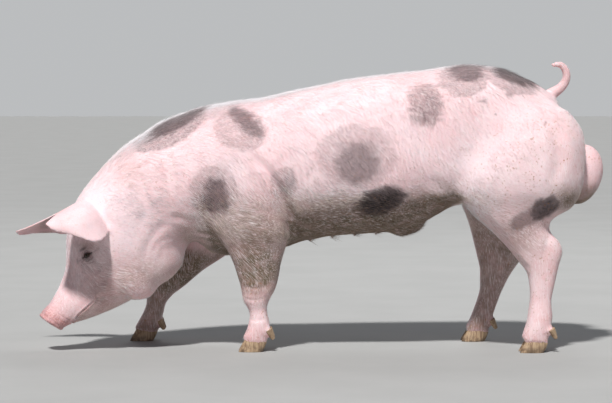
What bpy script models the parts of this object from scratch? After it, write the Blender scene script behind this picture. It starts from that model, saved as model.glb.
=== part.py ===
"""A grazing Pietrain boar as a still, life-size model, parted by thin cuts into the pieces a person would name.

Metres, +Z up. The boar faces -X with its left side towards -Y, and stands on z = 0.
The flesh is lofted from sections, fused into one smooth body, and then parted; hooves, eyes, ears and tail are solids
of their own that the flesh is cut to meet.
"""

import math

import bmesh
import bpy
from mathutils import Matrix, Vector

# Driving dimensions
CLEARANCE = 0.0004  # gap between neighbouring solids
BODY_VOXEL, POUCH_VOXEL = 0.007, 0.008  # grain at which rounded forms are fused
BODY_SMOOTHING, POUCH_SMOOTHING = 8, 10
BODY_TRIANGLES, POUCH_TRIANGLES = 3400, 480  # before the cuts
SHARP_ANGLE = math.radians(55)  # edges steeper than this stay sharp
RING_SIDES = 32
STEPS_PER_SECTION = 4
HEAD_TURN = math.radians(12)  # the head is turned to the boar's left
NECK_ROOT_X = -0.22
NECK_END_X = -0.54
EYE_RADIUS, EYE_SIDES = 0.0125, 10
EYE_PLACE = (-0.671, 0.0750, 0.288)
SIDES = {"left": -1, "right": 1}

# Sections: back (x, z), belly (x, z), half width, height of the widest place, squareness above and below it.
# The same seven columns describe a limb, whose "back" is its front edge and whose "belly" is its rear edge.
HEAD_SECTIONS = (
    (-0.811, 0.103, -0.743, 0.058, 0.047, 0.50, 2.3, 2.2),  # face of the snout disc
    (-0.800, 0.118, -0.731, 0.071, 0.050, 0.50, 2.3, 2.2),  # rim of the disc
    (-0.783, 0.134, -0.716, 0.078, 0.045, 0.50, 2.3, 2.2),  # groove behind the disc
    (-0.768, 0.156, -0.692, 0.084, 0.049, 0.50, 2.3, 2.2),  # nose
    (-0.747, 0.194, -0.640, 0.100, 0.057, 0.47, 2.3, 2.2),  # bridge of the nose and chin
    (-0.732, 0.237, -0.575, 0.126, 0.068, 0.48, 2.3, 2.2),  # below the eyes
    (-0.728, 0.285, -0.512, 0.158, 0.087, 0.48, 2.2, 2.2),  # eyes
    (-0.728, 0.335, -0.452, 0.196, 0.109, 0.46, 2.1, 2.2),  # forehead and cheeks
    (-0.716, 0.400, -0.398, 0.238, 0.125, 0.46, 2.0, 2.2),  # poll and jowl
)
NECK_SECTIONS = (
    (-0.690, 0.458, -0.368, 0.288, 0.136, 0.48, 2.0, 2.1),  # behind the ears
    (-0.642, 0.520, -0.347, 0.318, 0.147, 0.48, 2.0, 2.1),
    (-0.572, 0.592, -0.326, 0.312, 0.160, 0.48, 2.0, 2.1),  # middle of the neck
    (-0.500, 0.644, -0.302, 0.290, 0.175, 0.50, 2.0, 2.0),
)
TRUNK_SECTIONS = (
    (-0.426, 0.686, -0.262, 0.276, 0.192, 0.52, 2.1, 1.9),  # in front of the shoulder
    (-0.330, 0.719, -0.204, 0.272, 0.212, 0.54, 2.2, 1.8),  # point of the shoulder
    (-0.234, 0.739, -0.138, 0.282, 0.222, 0.55, 2.3, 1.8),  # withers
    (-0.138, 0.751, -0.069, 0.298, 0.224, 0.54, 2.4, 2.0),
    (-0.042, 0.774, -0.009, 0.318, 0.222, 0.52, 2.5, 2.2),  # girth
    (0.102, 0.808, 0.111, 0.337, 0.222, 0.50, 2.6, 2.3),  # ribs
    (0.246, 0.828, 0.231, 0.344, 0.218, 0.50, 2.7, 2.3),
    (0.366, 0.841, 0.351, 0.377, 0.210, 0.52, 2.8, 2.2),  # loin and flank
    (0.462, 0.853, 0.441, 0.424, 0.212, 0.56, 2.8, 2.0),  # hip
    (0.561, 0.844, 0.546, 0.430, 0.218, 0.60, 2.6, 2.0),  # rump
    (0.651, 0.811, 0.651, 0.440, 0.188, 0.60, 2.2, 2.0),
    (0.716, 0.776, 0.726, 0.480, 0.140, 0.60, 2.0, 2.0),  # root of the tail
    (0.742, 0.748, 0.770, 0.540, 0.090, 0.60, 2.0, 2.0),
)
# Limbs: front (x, z), rear (x, z), half thickness, the same shape columns, and the place to the side of the midline.
LEFT_HIND = (
    (0.486, 0.715, 0.742, 0.738, 0.084, 0.5, 2.0, 2.0, 0.112),  # top of the ham
    (0.468, 0.660, 0.803, 0.668, 0.106, 0.5, 2.0, 2.0, 0.122),
    (0.455, 0.595, 0.819, 0.600, 0.118, 0.5, 2.1, 2.1, 0.130),
    (0.436, 0.492, 0.812, 0.495, 0.118, 0.5, 2.1, 2.1, 0.136),
    (0.458, 0.430, 0.782, 0.430, 0.096, 0.5, 2.0, 2.0, 0.136),  # stifle
    (0.512, 0.380, 0.719, 0.390, 0.075, 0.5, 2.0, 2.0, 0.142),
    (0.564, 0.330, 0.712, 0.357, 0.056, 0.5, 2.0, 2.0, 0.146),  # gaskin
    (0.600, 0.289, 0.741, 0.327, 0.044, 0.5, 2.1, 2.1, 0.149),
    (0.623, 0.260, 0.751, 0.298, 0.040, 0.5, 2.2, 2.2, 0.150),  # hock
    (0.642, 0.236, 0.742, 0.262, 0.038, 0.5, 2.2, 2.2, 0.150),
    (0.650, 0.205, 0.731, 0.214, 0.034, 0.5, 2.3, 2.3, 0.150),
    (0.651, 0.154, 0.719, 0.156, 0.032, 0.5, 2.3, 2.3, 0.150),  # cannon
    (0.644, 0.098, 0.722, 0.098, 0.037, 0.5, 2.3, 2.3, 0.150),  # fetlock
    (0.634, 0.062, 0.712, 0.055, 0.038, 0.5, 2.4, 2.4, 0.150),  # pastern
    (0.622, 0.036, 0.708, 0.026, 0.037, 0.5, 2.4, 2.4, 0.150),
)
RIGHT_HIND = (
    (0.486, 0.715, 0.742, 0.738, 0.084, 0.5, 2.0, 2.0, 0.112),
    (0.468, 0.660, 0.803, 0.668, 0.106, 0.5, 2.0, 2.0, 0.122),
    (0.455, 0.595, 0.819, 0.600, 0.118, 0.5, 2.1, 2.1, 0.130),
    (0.438, 0.492, 0.806, 0.495, 0.118, 0.5, 2.1, 2.1, 0.136),
    (0.459, 0.434, 0.768, 0.430, 0.096, 0.5, 2.0, 2.0, 0.136),
    (0.483, 0.386, 0.706, 0.386, 0.075, 0.5, 2.0, 2.0, 0.142),
    (0.496, 0.342, 0.690, 0.352, 0.056, 0.5, 2.0, 2.0, 0.146),
    (0.508, 0.293, 0.693, 0.318, 0.045, 0.5, 2.1, 2.1, 0.149),
    (0.518, 0.258, 0.682, 0.280, 0.040, 0.5, 2.2, 2.2, 0.150),
    (0.526, 0.228, 0.654, 0.246, 0.038, 0.5, 2.2, 2.2, 0.150),
    (0.528, 0.190, 0.624, 0.204, 0.034, 0.5, 2.3, 2.3, 0.150),
    (0.524, 0.146, 0.598, 0.154, 0.032, 0.5, 2.3, 2.3, 0.150),
    (0.507, 0.096, 0.576, 0.098, 0.037, 0.5, 2.3, 2.3, 0.150),
    (0.492, 0.060, 0.562, 0.053, 0.038, 0.5, 2.4, 2.4, 0.150),
    (0.476, 0.036, 0.556, 0.024, 0.037, 0.5, 2.4, 2.4, 0.150),
)
LEFT_FORE = (
    (-0.318, 0.610, -0.140, 0.640, 0.050, 0.5, 2.0, 2.0, 0.140),  # shoulder blade
    (-0.330, 0.500, -0.090, 0.520, 0.072, 0.5, 2.0, 2.0, 0.142),
    (-0.306, 0.410, -0.056, 0.425, 0.076, 0.5, 2.0, 2.0, 0.140),
    (-0.274, 0.345, -0.050, 0.359, 0.068, 0.5, 2.0, 2.0, 0.138),  # elbow
    (-0.246, 0.306, -0.061, 0.318, 0.058, 0.5, 2.0, 2.0, 0.136),
    (-0.224, 0.265, -0.076, 0.271, 0.049, 0.5, 2.1, 2.1, 0.134),  # forearm
    (-0.209, 0.221, -0.085, 0.227, 0.042, 0.5, 2.1, 2.1, 0.132),
    (-0.197, 0.180, -0.096, 0.184, 0.041, 0.5, 2.3, 2.3, 0.130),  # knee
    (-0.193, 0.150, -0.113, 0.153, 0.038, 0.5, 2.3, 2.3, 0.129),
    (-0.173, 0.116, -0.120, 0.122, 0.032, 0.5, 2.3, 2.3, 0.128),  # cannon
    (-0.177, 0.082, -0.111, 0.082, 0.037, 0.5, 2.3, 2.3, 0.128),  # fetlock
    (-0.187, 0.056, -0.116, 0.049, 0.038, 0.5, 2.4, 2.4, 0.128),
    (-0.199, 0.034, -0.120, 0.024, 0.037, 0.5, 2.4, 2.4, 0.128),
)
RIGHT_FORE = (
    (-0.318, 0.610, -0.140, 0.640, 0.050, 0.5, 2.0, 2.0, 0.140),
    (-0.345, 0.500, -0.120, 0.510, 0.068, 0.5, 2.0, 2.0, 0.144),
    (-0.362, 0.410, -0.140, 0.395, 0.066, 0.5, 2.0, 2.0, 0.148),
    (-0.366, 0.345, -0.195, 0.310, 0.060, 0.5, 2.0, 2.0, 0.152),
    (-0.390, 0.300, -0.255, 0.259, 0.050, 0.5, 2.0, 2.0, 0.158),
    (-0.428, 0.262, -0.316, 0.219, 0.044, 0.5, 2.1, 2.1, 0.162),
    (-0.466, 0.228, -0.374, 0.170, 0.041, 0.5, 2.2, 2.2, 0.164),
    (-0.496, 0.184, -0.412, 0.143, 0.040, 0.5, 2.3, 2.3, 0.165),
    (-0.500, 0.146, -0.430, 0.124, 0.036, 0.5, 2.3, 2.3, 0.165),
    (-0.498, 0.112, -0.440, 0.104, 0.032, 0.5, 2.3, 2.3, 0.165),
    (-0.512, 0.080, -0.446, 0.074, 0.037, 0.5, 2.3, 2.3, 0.165),
    (-0.526, 0.056, -0.454, 0.046, 0.038, 0.5, 2.4, 2.4, 0.165),
    (-0.540, 0.034, -0.460, 0.022, 0.037, 0.5, 2.4, 2.4, 0.165),
)
LEGS = {
    "foreleg_left": LEFT_FORE,
    "foreleg_right": RIGHT_FORE,
    "hindleg_left": LEFT_HIND,
    "hindleg_right": RIGHT_HIND,
}
# Muscle and fat that stand out from the sections: centre to one side, three radii, and the lean in degrees about Y.
MASSES = {
    "shoulder_muscle": ((-0.185, 0.160, 0.500), (0.110, 0.066, 0.175), -12),
    "cheek": ((-0.545, 0.058, 0.250), (0.085, 0.052, 0.110), -38),
    "jowl": ((-0.462, 0.056, 0.280), (0.105, 0.068, 0.082), -40),
    "ham_muscle": ((0.690, 0.135, 0.570), (0.125, 0.090, 0.155), 8),
}
SHEATH = ((0.296, 0, 0.364), (0.058, 0.034, 0.032), -16)
BACK_GROOVE = (-0.10, 0.66, 0.012, 0.030)  # between the back muscles: from x, to x, depth and half width


# Finish of each kind of piece, by the first word of its name: colour and roughness. The rest is pale skin.
PALE_SKIN = ((0.86, 0.68, 0.64), 0.55)
FINISHES = {
    "ear": ((0.86, 0.55, 0.53), 0.50),
    "snout": ((0.80, 0.48, 0.46), 0.45),
    "tail": ((0.84, 0.58, 0.54), 0.55),
    "scrotum": ((0.84, 0.56, 0.53), 0.45),
    "eye": ((0.05, 0.03, 0.025), 0.08),
    "hoof": ((0.62, 0.50, 0.38), 0.40),
    "dewclaw": ((0.56, 0.44, 0.33), 0.40),
}


def finish(name):
    """The material of the piece with this name."""
    colour, roughness = FINISHES.get(name.split("_")[0], PALE_SKIN)
    made = bpy.data.materials.new(name)
    made.use_nodes = True
    shader = made.node_tree.nodes["Principled BSDF"]
    shader.inputs["Base Color"].default_value = (*colour, 1)
    shader.inputs["Roughness"].default_value = roughness
    return made


def new_object(name, mesh, collection):
    made = bpy.data.objects.new(name, mesh)
    collection.objects.link(made)
    return made


def turned(point):
    """The place of a point of the straight head and neck once they are turned to the boar's left."""
    share = min(1.0, max(0.0, (NECK_ROOT_X - point.x) / (NECK_ROOT_X - NECK_END_X)))
    share = share * share * (3 - 2 * share)
    pivot = Vector((NECK_ROOT_X, 0, 0))
    return pivot + Matrix.Rotation(HEAD_TURN * share, 3, "Z") @ (point - pivot)


def furrowed(point):
    """The place of a point of the trunk once the furrow runs down the middle of its back."""
    start, end, depth, half_width = BACK_GROOVE
    share = min(1.0, max(0.0, min(point.x - start, end - point.x) / 0.2))
    drop = depth * share * math.exp(-((point.y / half_width) ** 2)) if point.z > 0.6 else 0.0
    return turned(point - Vector((0, 0, drop)))


def spline(rows, steps):
    """Rows of numbers filled in by a Catmull-Rom spline, with steps rows to each span."""
    filled = []
    for i in range(len(rows) - 1):
        before, first, second, after = (
            rows[max(i - 1, 0)],
            rows[i],
            rows[i + 1],
            rows[min(i + 2, len(rows) - 1)],
        )
        for k in range(steps):
            t = k / steps
            filled.append(
                [
                    b + 0.5 * t * (c - a + t * (2 * a - 5 * b + 4 * c - d + t * (3 * (b - c) + d - a)))
                    for a, b, c, d in zip(before, first, second, after)
                ]
            )
    return filled + [list(rows[-1])]


def ring(row, side_sign):
    """The points of one section, a rounded oval whose two halves have their own squareness."""
    back_x, back_z, belly_x, belly_z, half_width, widest, square_back, square_belly = row[:8]
    off_middle = side_sign * row[8] if len(row) > 8 else 0.0
    belly, back = Vector((belly_x, 0, belly_z)), Vector((back_x, 0, back_z))
    points = []
    for i in range(RING_SIDES):
        angle = 2 * math.pi * i / RING_SIDES
        rise, out = math.sin(angle), math.cos(angle)
        power = 2 / (square_back if rise > 0 else square_belly)
        reach = (1 - widest) if rise > 0 else widest
        height = widest + math.copysign(reach * abs(rise) ** power, rise)
        width = math.copysign(half_width * abs(out) ** power, out)
        points.append(belly.lerp(back, height) + Vector((0, off_middle + width, 0)))
    return points


def loft(rows, side_sign=1, shape=None):
    """A closed mesh through the sections, each point moved by shape where one is given."""
    bm = bmesh.new()
    rings = []
    for row in spline(rows, STEPS_PER_SECTION):
        points = ring(row, side_sign)
        rings.append([bm.verts.new(shape(p) if shape else p) for p in points])
    for near, far in zip(rings, rings[1:]):
        for i in range(RING_SIDES):
            j = (i + 1) % RING_SIDES
            bm.faces.new((near[i], near[j], far[j], far[i]))
    bm.faces.new(rings[0])
    bm.faces.new(rings[-1])
    bmesh.ops.recalc_face_normals(bm, faces=bm.faces)
    return bm


def ellipsoid(centre, radii, lean, shape=None, around=24):
    bm = bmesh.new()
    place = Matrix.Translation(centre) @ Matrix.Rotation(math.radians(lean), 4, "Y") @ Matrix.Diagonal((*radii, 1))
    bmesh.ops.create_uvsphere(bm, u_segments=around, v_segments=around * 2 // 3, radius=1, matrix=place)
    for vert in bm.verts if shape else ():
        vert.co = shape(vert.co)
    return bm


def mesh_of(name, *parts):
    """One mesh that holds all the given bmesh parts."""
    mesh = bpy.data.meshes.new(name)
    whole = bmesh.new()
    for part in parts:
        part.to_mesh(mesh)
        part.free()
        whole.from_mesh(mesh)
    whole.to_mesh(mesh)
    whole.free()
    return mesh


def applied(obj):
    """Makes the object's modifiers part of its mesh."""
    graph = bpy.context.evaluated_depsgraph_get()
    mesh = bpy.data.meshes.new_from_object(obj.evaluated_get(graph))
    obj.modifiers.clear()
    obj.data = mesh
    return obj


def largest_body(obj):
    """Leaves only the object's largest loose piece, by its number of vertices."""
    bm = bmesh.new()
    bm.from_mesh(obj.data)
    bm.verts.ensure_lookup_table()
    unseen, bodies = set(bm.verts), []
    while unseen:
        body, todo = set(), [unseen.pop()]
        while todo:
            vert = todo.pop()
            body.add(vert)
            for edge in vert.link_edges:
                other = edge.other_vert(vert)
                if other in unseen:
                    unseen.discard(other)
                    todo.append(other)
        bodies.append(body)
    bodies.sort(key=len)
    bmesh.ops.delete(bm, geom=[v for body in bodies[:-1] for v in body], context="VERTS")
    bm.to_mesh(obj.data)
    bm.free()
    return obj


def boolean(obj, other, operation):
    modifier = obj.modifiers.new(operation.lower(), "BOOLEAN")
    modifier.operation, modifier.object = operation, other
    return applied(obj)


def grown(obj, collection):
    """A copy of the object, larger all round by the clearance, to cut its neighbours with."""
    made = new_object(obj.name + "_cutter", obj.data.copy(), collection)
    modifier = made.modifiers.new("grow", "DISPLACE")
    modifier.strength, modifier.mid_level = CLEARANCE, 0
    return applied(made)


def prism(name, outline, along, near, far, collection, place=None):
    """A cutter: a flat outline carried along Y, for (x, z) points, or along X, for (y, z) points."""
    bm = bmesh.new()
    ends = []
    for depth in (near, far):
        corners = [(a, depth, b) if along == "Y" else (depth, a, b) for a, b in outline]
        ends.append([bm.verts.new(corner) for corner in corners])
    bm.faces.new(ends[0])
    bm.faces.new(ends[1])
    for i in range(len(outline)):
        j = (i + 1) % len(outline)
        bm.faces.new((ends[0][i], ends[0][j], ends[1][j], ends[1][i]))
    bmesh.ops.recalc_face_normals(bm, faces=bm.faces)
    if place:
        bm.transform(place)
    return new_object(name, mesh_of(name, bm), collection)


def fused(obj, voxel, smoothing, triangles):
    """Makes the object's overlapping forms one smooth skin of about so many triangles."""
    fuse = obj.modifiers.new("fuse", "REMESH")
    fuse.mode, fuse.voxel_size = "VOXEL", voxel
    smooth = obj.modifiers.new("smooth", "SMOOTH")
    smooth.factor, smooth.iterations = 0.5, smoothing
    applied(obj)
    lighten = obj.modifiers.new("lighten", "DECIMATE")
    lighten.ratio = triangles / (2 * len(obj.data.polygons))
    return applied(obj)


def fused_body(collection):
    """The flesh of the whole animal as one smooth closed mesh."""
    forms = [loft(HEAD_SECTIONS + NECK_SECTIONS + TRUNK_SECTIONS, shape=furrowed), ellipsoid(*SHEATH)]
    for name, rows in LEGS.items():
        forms.append(loft(rows, SIDES[name.rsplit("_", 1)[1]]))
    for centre, radii, lean in MASSES.values():
        for sign in SIDES.values():
            middle = Vector((centre[0], sign * centre[1], centre[2]))
            forms.append(ellipsoid(middle, radii, lean, turned if centre[0] < NECK_ROOT_X else None))
    body = new_object("body", mesh_of("body", *forms), collection)
    return largest_body(fused(body, BODY_VOXEL, BODY_SMOOTHING, BODY_TRIANGLES))


# Ear: upper edge (x, y, z), lower edge (x, y, z) and how far the leaf arches between them, from root to tip.
EAR_ROWS = (
    (-0.664, 0.030, 0.452, -0.614, 0.112, 0.358, 0.026),
    (-0.690, 0.052, 0.440, -0.632, 0.156, 0.341, 0.036),
    (-0.722, 0.078, 0.423, -0.660, 0.186, 0.331, 0.038),
    (-0.756, 0.104, 0.404, -0.696, 0.1994, 0.335, 0.032),
    (-0.788, 0.128, 0.386, -0.738, 0.1934, 0.345, 0.020),
    (-0.812, 0.144, 0.373, -0.782, 0.178, 0.349, 0.009),
    (-0.828, 0.152, 0.366, -0.812, 0.170, 0.352, 0.003),
)
# The left ear is held a little higher, and the right one lower and stretched further forward.
EAR_TIP_SHIFT = {"left": (0.022, 0.0, 0.018), "right": (-0.0385, 0.008, -0.022)}
EAR_LIFT = {"left": 0.012, "right": -0.010}  # of the upper edge, half way along
EAR_ACROSS = 6
EAR_THICKNESS = 0.007
EAR_STEPS = 2
# Tail: centre line (x, z) and radius, from root to tip.
TAIL_ROWS = (
    (0.700, 0.740, 0.024),
    (0.724, 0.757, 0.020),
    (0.748, 0.771, 0.0165),
    (0.768, 0.792, 0.0145),
    (0.774, 0.818, 0.0130),
    (0.763, 0.841, 0.0115),
    (0.744, 0.848, 0.0095),
    (0.727, 0.843, 0.0070),
)
TAIL_SIDEWAYS = 0.022  # how far the tip leans to the left
TAIL_SIDES, TAIL_STEPS = 10, 2
# Scrotum: two testes in one pouch under the tail.
TESTIS = ((0.812, 0.040, 0.520), (0.068, 0.058, 0.094), 16)
# Hooves
CLAW_LENGTH, CLAW_WIDTH, CLAW_TOE_HEIGHT, CLAW_HEEL_HEIGHT = 0.074, 0.036, 0.046, 0.028
CLAW_SLOPE = 0.020  # how far the top of the hoof lies behind the sole
CLAW_SPREAD = 0.0195  # from the middle of the foot to the middle of a claw
CLAW_SPLAY = math.radians(4)
CLAW_OUTLINE_POINTS = 14
DEWCLAW_LENGTH, DEWCLAW_RADIUS, DEWCLAW_SIDES = 0.034, 0.0105, 10
DEWCLAW_SPREAD = 0.022
DEWCLAW_TURN, DEWCLAW_SPLAY = math.radians(152), math.radians(14)  # it points down and back, and a little outwards
NOSTRIL_SPREAD = 0.0185
NOSTRIL_RADII = (0.0085, 0.0105, 0.022)
# Feet: middle of the sole (x, y), and the dewclaws' middle (x, z)
FEET = {
    "fore_left": ((-0.170, -0.128), (-0.110, 0.052)),
    "fore_right": ((-0.512, 0.165), (-0.450, 0.050)),
    "hind_left": ((0.658, -0.150), (0.722, 0.056)),
    "hind_right": ((0.506, 0.150), (0.570, 0.054)),
}


def ear_mesh(name):
    """The leaf of one ear: an open sheet between its two edges, arched upwards."""
    sign, tip_shift, lift = SIDES[name], Vector(EAR_TIP_SHIFT[name]), EAR_LIFT[name]
    bm = bmesh.new()
    rows = []
    filled = spline(EAR_ROWS, EAR_STEPS)
    for i, row in enumerate(filled):
        length_share = i / (len(filled) - 1)
        shift = tip_shift * length_share**2
        raised = Vector((0, 0, lift * math.sin(math.pi * length_share)))
        upper, lower, arch = Vector(row[0:3]) + shift + raised, Vector(row[3:6]) + shift, row[6]
        points = []
        for k in range(EAR_ACROSS + 1):
            share = k / EAR_ACROSS
            point = upper.lerp(lower, share) + Vector((-0.25, 0.75, 0.6)) * arch * math.sin(math.pi * share)
            points.append(bm.verts.new(turned(Vector((point.x, sign * point.y, point.z)))))
        rows.append(points)
    for near, far in zip(rows, rows[1:]):
        for k in range(EAR_ACROSS):
            bm.faces.new((near[k], near[k + 1], far[k + 1], far[k]))
    bmesh.ops.recalc_face_normals(bm, faces=bm.faces)
    return bm


def make_ear(name, collection):
    ear = new_object("ear_" + name, mesh_of("ear_" + name, ear_mesh(name)), collection)
    shell = ear.modifiers.new("thickness", "SOLIDIFY")
    shell.thickness, shell.offset = EAR_THICKNESS, 0
    return applied(ear)


def make_tail(collection):
    """A tapered tube along the curl."""
    bm = bmesh.new()
    rows = spline(TAIL_ROWS, TAIL_STEPS)
    rings = []
    for i, (x, z, radius) in enumerate(rows):
        ahead, behind = rows[min(i + 1, len(rows) - 1)], rows[max(i - 1, 0)]
        along = Vector((ahead[0] - behind[0], 0, ahead[1] - behind[1])).normalized()
        across, side = Vector((-along.z, 0, along.x)), Vector((0, 1, 0))
        middle = Vector((x, -TAIL_SIDEWAYS * (i / len(rows)) ** 2, z))
        angles = (2 * math.pi * k / TAIL_SIDES for k in range(TAIL_SIDES))
        rings.append([bm.verts.new(middle + radius * (math.cos(a) * across + math.sin(a) * side)) for a in angles])
    for near, far in zip(rings, rings[1:]):
        for i in range(TAIL_SIDES):
            j = (i + 1) % TAIL_SIDES
            bm.faces.new((near[i], near[j], far[j], far[i]))
    bm.faces.new(rings[0])
    bm.faces.new(rings[-1])
    bmesh.ops.recalc_face_normals(bm, faces=bm.faces)
    return new_object("tail", mesh_of("tail", bm), collection)


def make_scrotum(collection):
    centre, radii, lean = TESTIS
    lobes = [ellipsoid(Vector((centre[0], sign * centre[1], centre[2])), radii, lean) for sign in SIDES.values()]
    pouch = new_object("scrotum", mesh_of("scrotum", *lobes), collection)
    return fused(pouch, POUCH_VOXEL, POUCH_SMOOTHING, POUCH_TRIANGLES)


def make_eye(name, sign, collection):
    middle = turned(Vector((EYE_PLACE[0], sign * EYE_PLACE[1], EYE_PLACE[2])))
    return new_object(name, mesh_of(name, ellipsoid(middle, (EYE_RADIUS,) * 3, 0, around=EYE_SIDES)), collection)


def make_claw(name, middle, side, collection):
    """One hoof: a flat sole, pointed at the toe, that leans back to the coronet."""
    bm = bmesh.new()
    rings = []
    for share in (0.0, 0.15, 1.0):
        shrink = 1 - 0.03 * (share == 0) - 0.20 * share * share
        points = []
        for i in range(CLAW_OUTLINE_POINTS):
            angle = 2 * math.pi * i / CLAW_OUTLINE_POINTS
            toe = 0.5 + 0.5 * math.cos(angle)  # 1 at the toe, 0 at the heel
            x = -0.5 * CLAW_LENGTH * math.cos(angle) * shrink
            y = 0.5 * CLAW_WIDTH * math.sin(angle) * (1 - 0.32 * toe**3) * shrink
            height = share * (CLAW_HEEL_HEIGHT + (CLAW_TOE_HEIGHT - CLAW_HEEL_HEIGHT) * toe)
            points.append(bm.verts.new((x + CLAW_SLOPE * share, y, height)))
        rings.append(points)
    for near, far in zip(rings, rings[1:]):
        for i in range(CLAW_OUTLINE_POINTS):
            j = (i + 1) % CLAW_OUTLINE_POINTS
            bm.faces.new((near[i], near[j], far[j], far[i]))
    bm.faces.new(rings[0])
    bm.faces.new(rings[-1])
    bmesh.ops.recalc_face_normals(bm, faces=bm.faces)
    splay = Matrix.Rotation(-side * CLAW_SPLAY, 4, "Z")
    bm.transform(Matrix.Translation((middle[0], middle[1] + side * CLAW_SPREAD, 0)) @ splay)
    return new_object(name, mesh_of(name, bm), collection)


def make_dewclaw(name, middle, y, side, collection):
    """A small blunt horn that points down and back, clear of the floor."""
    bm = bmesh.new()
    lean = Matrix.Rotation(DEWCLAW_TURN, 4, "Y") @ Matrix.Rotation(side * DEWCLAW_SPLAY, 4, "X")
    place = Matrix.Translation((middle[0], y + side * DEWCLAW_SPREAD, middle[1])) @ lean
    bmesh.ops.create_cone(
        bm,
        cap_ends=True,
        segments=DEWCLAW_SIDES,
        radius1=DEWCLAW_RADIUS,
        radius2=DEWCLAW_RADIUS * 0.5,
        depth=DEWCLAW_LENGTH,
        matrix=place @ Matrix.Diagonal((1.15, 0.9, 1, 1)),
    )
    return new_object(name, mesh_of(name, bm), collection)


def nostril_cutters(collection):
    """Two slanting bores in the face of the snout disc."""
    back_x, back_z, belly_x, belly_z = HEAD_SECTIONS[0][:4]
    disc_back, disc_belly = Vector((back_x, 0, back_z)), Vector((belly_x, 0, belly_z))
    middle = disc_back.lerp(disc_belly, 0.5)
    across = (disc_belly - disc_back).normalized()
    inward = Vector((-across.z, 0, across.x))
    made = []
    turn = inward.to_track_quat("Z", "Y").to_matrix().to_4x4()
    for name, sign in SIDES.items():
        bm = bmesh.new()
        place = Matrix.Translation(middle + Vector((0, sign * NOSTRIL_SPREAD, 0))) @ turn
        place = place @ Matrix.Diagonal((*NOSTRIL_RADII, 1))
        bmesh.ops.create_uvsphere(bm, u_segments=12, v_segments=10, radius=1, matrix=place)
        for vert in bm.verts:
            vert.co = turned(vert.co)
        made.append(new_object("nostril_" + name, mesh_of("nostril", bm), collection))
    return made


# Cut lines. In side view (x, z) for the head, mouth, neck and ham.
SNOUT_CUT = ((-0.790, 0.175), (-0.700, 0.070))
JAW_OUTLINE = (
    (-0.712, -0.050),
    (-0.712, 0.085),
    (-0.696, 0.110),
    (-0.648, 0.154),  # corner of the mouth
    (-0.570, 0.184),
    (-0.500, 0.130),
    (-0.500, -0.050),
)
HEAD_CUT = ((-0.690, 0.500), (-0.375, 0.250))
NECK_CUT = ((-0.470, 0.760), (-0.235, 0.210))
HAM_LINE = ((0.420, -0.10), (0.420, 0.415), (0.742, 0.715), (0.792, 0.735), (1.10, 0.735), (1.10, -0.10))
# From the front (y, z) for the forelegs, with the reach of each cut along x.
ARMPITS = {
    "left": (((0.045, -0.10), (0.045, 0.262), (0.230, 0.380), (0.60, 0.380), (0.60, -0.10)), (-0.300, 0.000)),
    "right": (((0.086, -0.10), (0.086, 0.262), (0.230, 0.350), (0.60, 0.350), (0.60, -0.10)), (-0.620, -0.120)),
}


def beyond(line, depth):
    """A four-cornered outline on the left-hand side of a line, as deep as asked."""
    start, end = Vector(line[0]), Vector(line[-1])
    along = (end - start).normalized()
    out = Vector((-along.y, along.x)) * depth
    start, end = start - along, end + along
    return [tuple(start), tuple(end), tuple(end + out), tuple(start + out)]


def take_off(body, name, cutter, collection):
    """Parts the cutter's share of the body from it as a new object, with the clearance between the two."""
    piece = new_object(name, body.data.copy(), collection)
    boolean(piece, cutter, "INTERSECT")
    boolean(body, grown(cutter, cutter.users_collection[0]), "DIFFERENCE")
    return largest_body(piece)


def head_place():
    """The turn that the whole head takes."""
    pivot = Vector((NECK_ROOT_X, 0, 0))
    return Matrix.Translation(pivot) @ Matrix.Rotation(HEAD_TURN, 4, "Z") @ Matrix.Translation(-pivot)


def part_the_body(body, collection, cutters):
    """Cuts the body into its named pieces. The trunk is what is left."""
    pieces = []
    for name, sign in SIDES.items():
        corners, reach = ARMPITS[name]
        cutter = prism("armpit_" + name, [(sign * y, z) for y, z in corners], "X", *reach, cutters)
        pieces.append(take_off(body, "foreleg_" + name, cutter, collection))
    for name, sign in SIDES.items():
        cutter = prism("ham_" + name, HAM_LINE, "Y", sign * CLEARANCE / 2, sign * 0.6, cutters)
        pieces.append(take_off(body, "hindleg_" + name, cutter, collection))
    wide = (-0.6, 0.6)
    neck_side = prism("neck_side", beyond(NECK_CUT[::-1], 1.0), "Y", *wide, cutters)
    neck = take_off(body, "neck", neck_side, collection)
    head_side = prism("head_side", beyond(HEAD_CUT[::-1], 1.0), "Y", *wide, cutters, head_place())
    head = take_off(neck, "head", head_side, collection)
    jaw_side = prism("jaw_side", JAW_OUTLINE, "Y", *wide, cutters, head_place())
    jaw = take_off(head, "lower_jaw", jaw_side, collection)
    snout_side = prism("snout_side", beyond(SNOUT_CUT[::-1], 0.5), "Y", *wide, cutters, head_place())
    snout = take_off(head, "snout", snout_side, collection)
    for piece in (neck, head, jaw, snout, body, *pieces):
        largest_body(piece)
    body.name = "trunk"
    return [body, neck, head, jaw, snout, *pieces]


def centre_on_the_floor(pieces):
    """Moves the whole animal so that its box is centred on the z axis. The soles already lie on z = 0."""
    corners = [vert.co for piece in pieces for vert in piece.data.vertices]
    middle_x = 0.5 * (min(c.x for c in corners) + max(c.x for c in corners))
    middle_y = 0.5 * (min(c.y for c in corners) + max(c.y for c in corners))
    for piece in pieces:
        piece.data.transform(Matrix.Translation((-middle_x, -middle_y, 0)))


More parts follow.
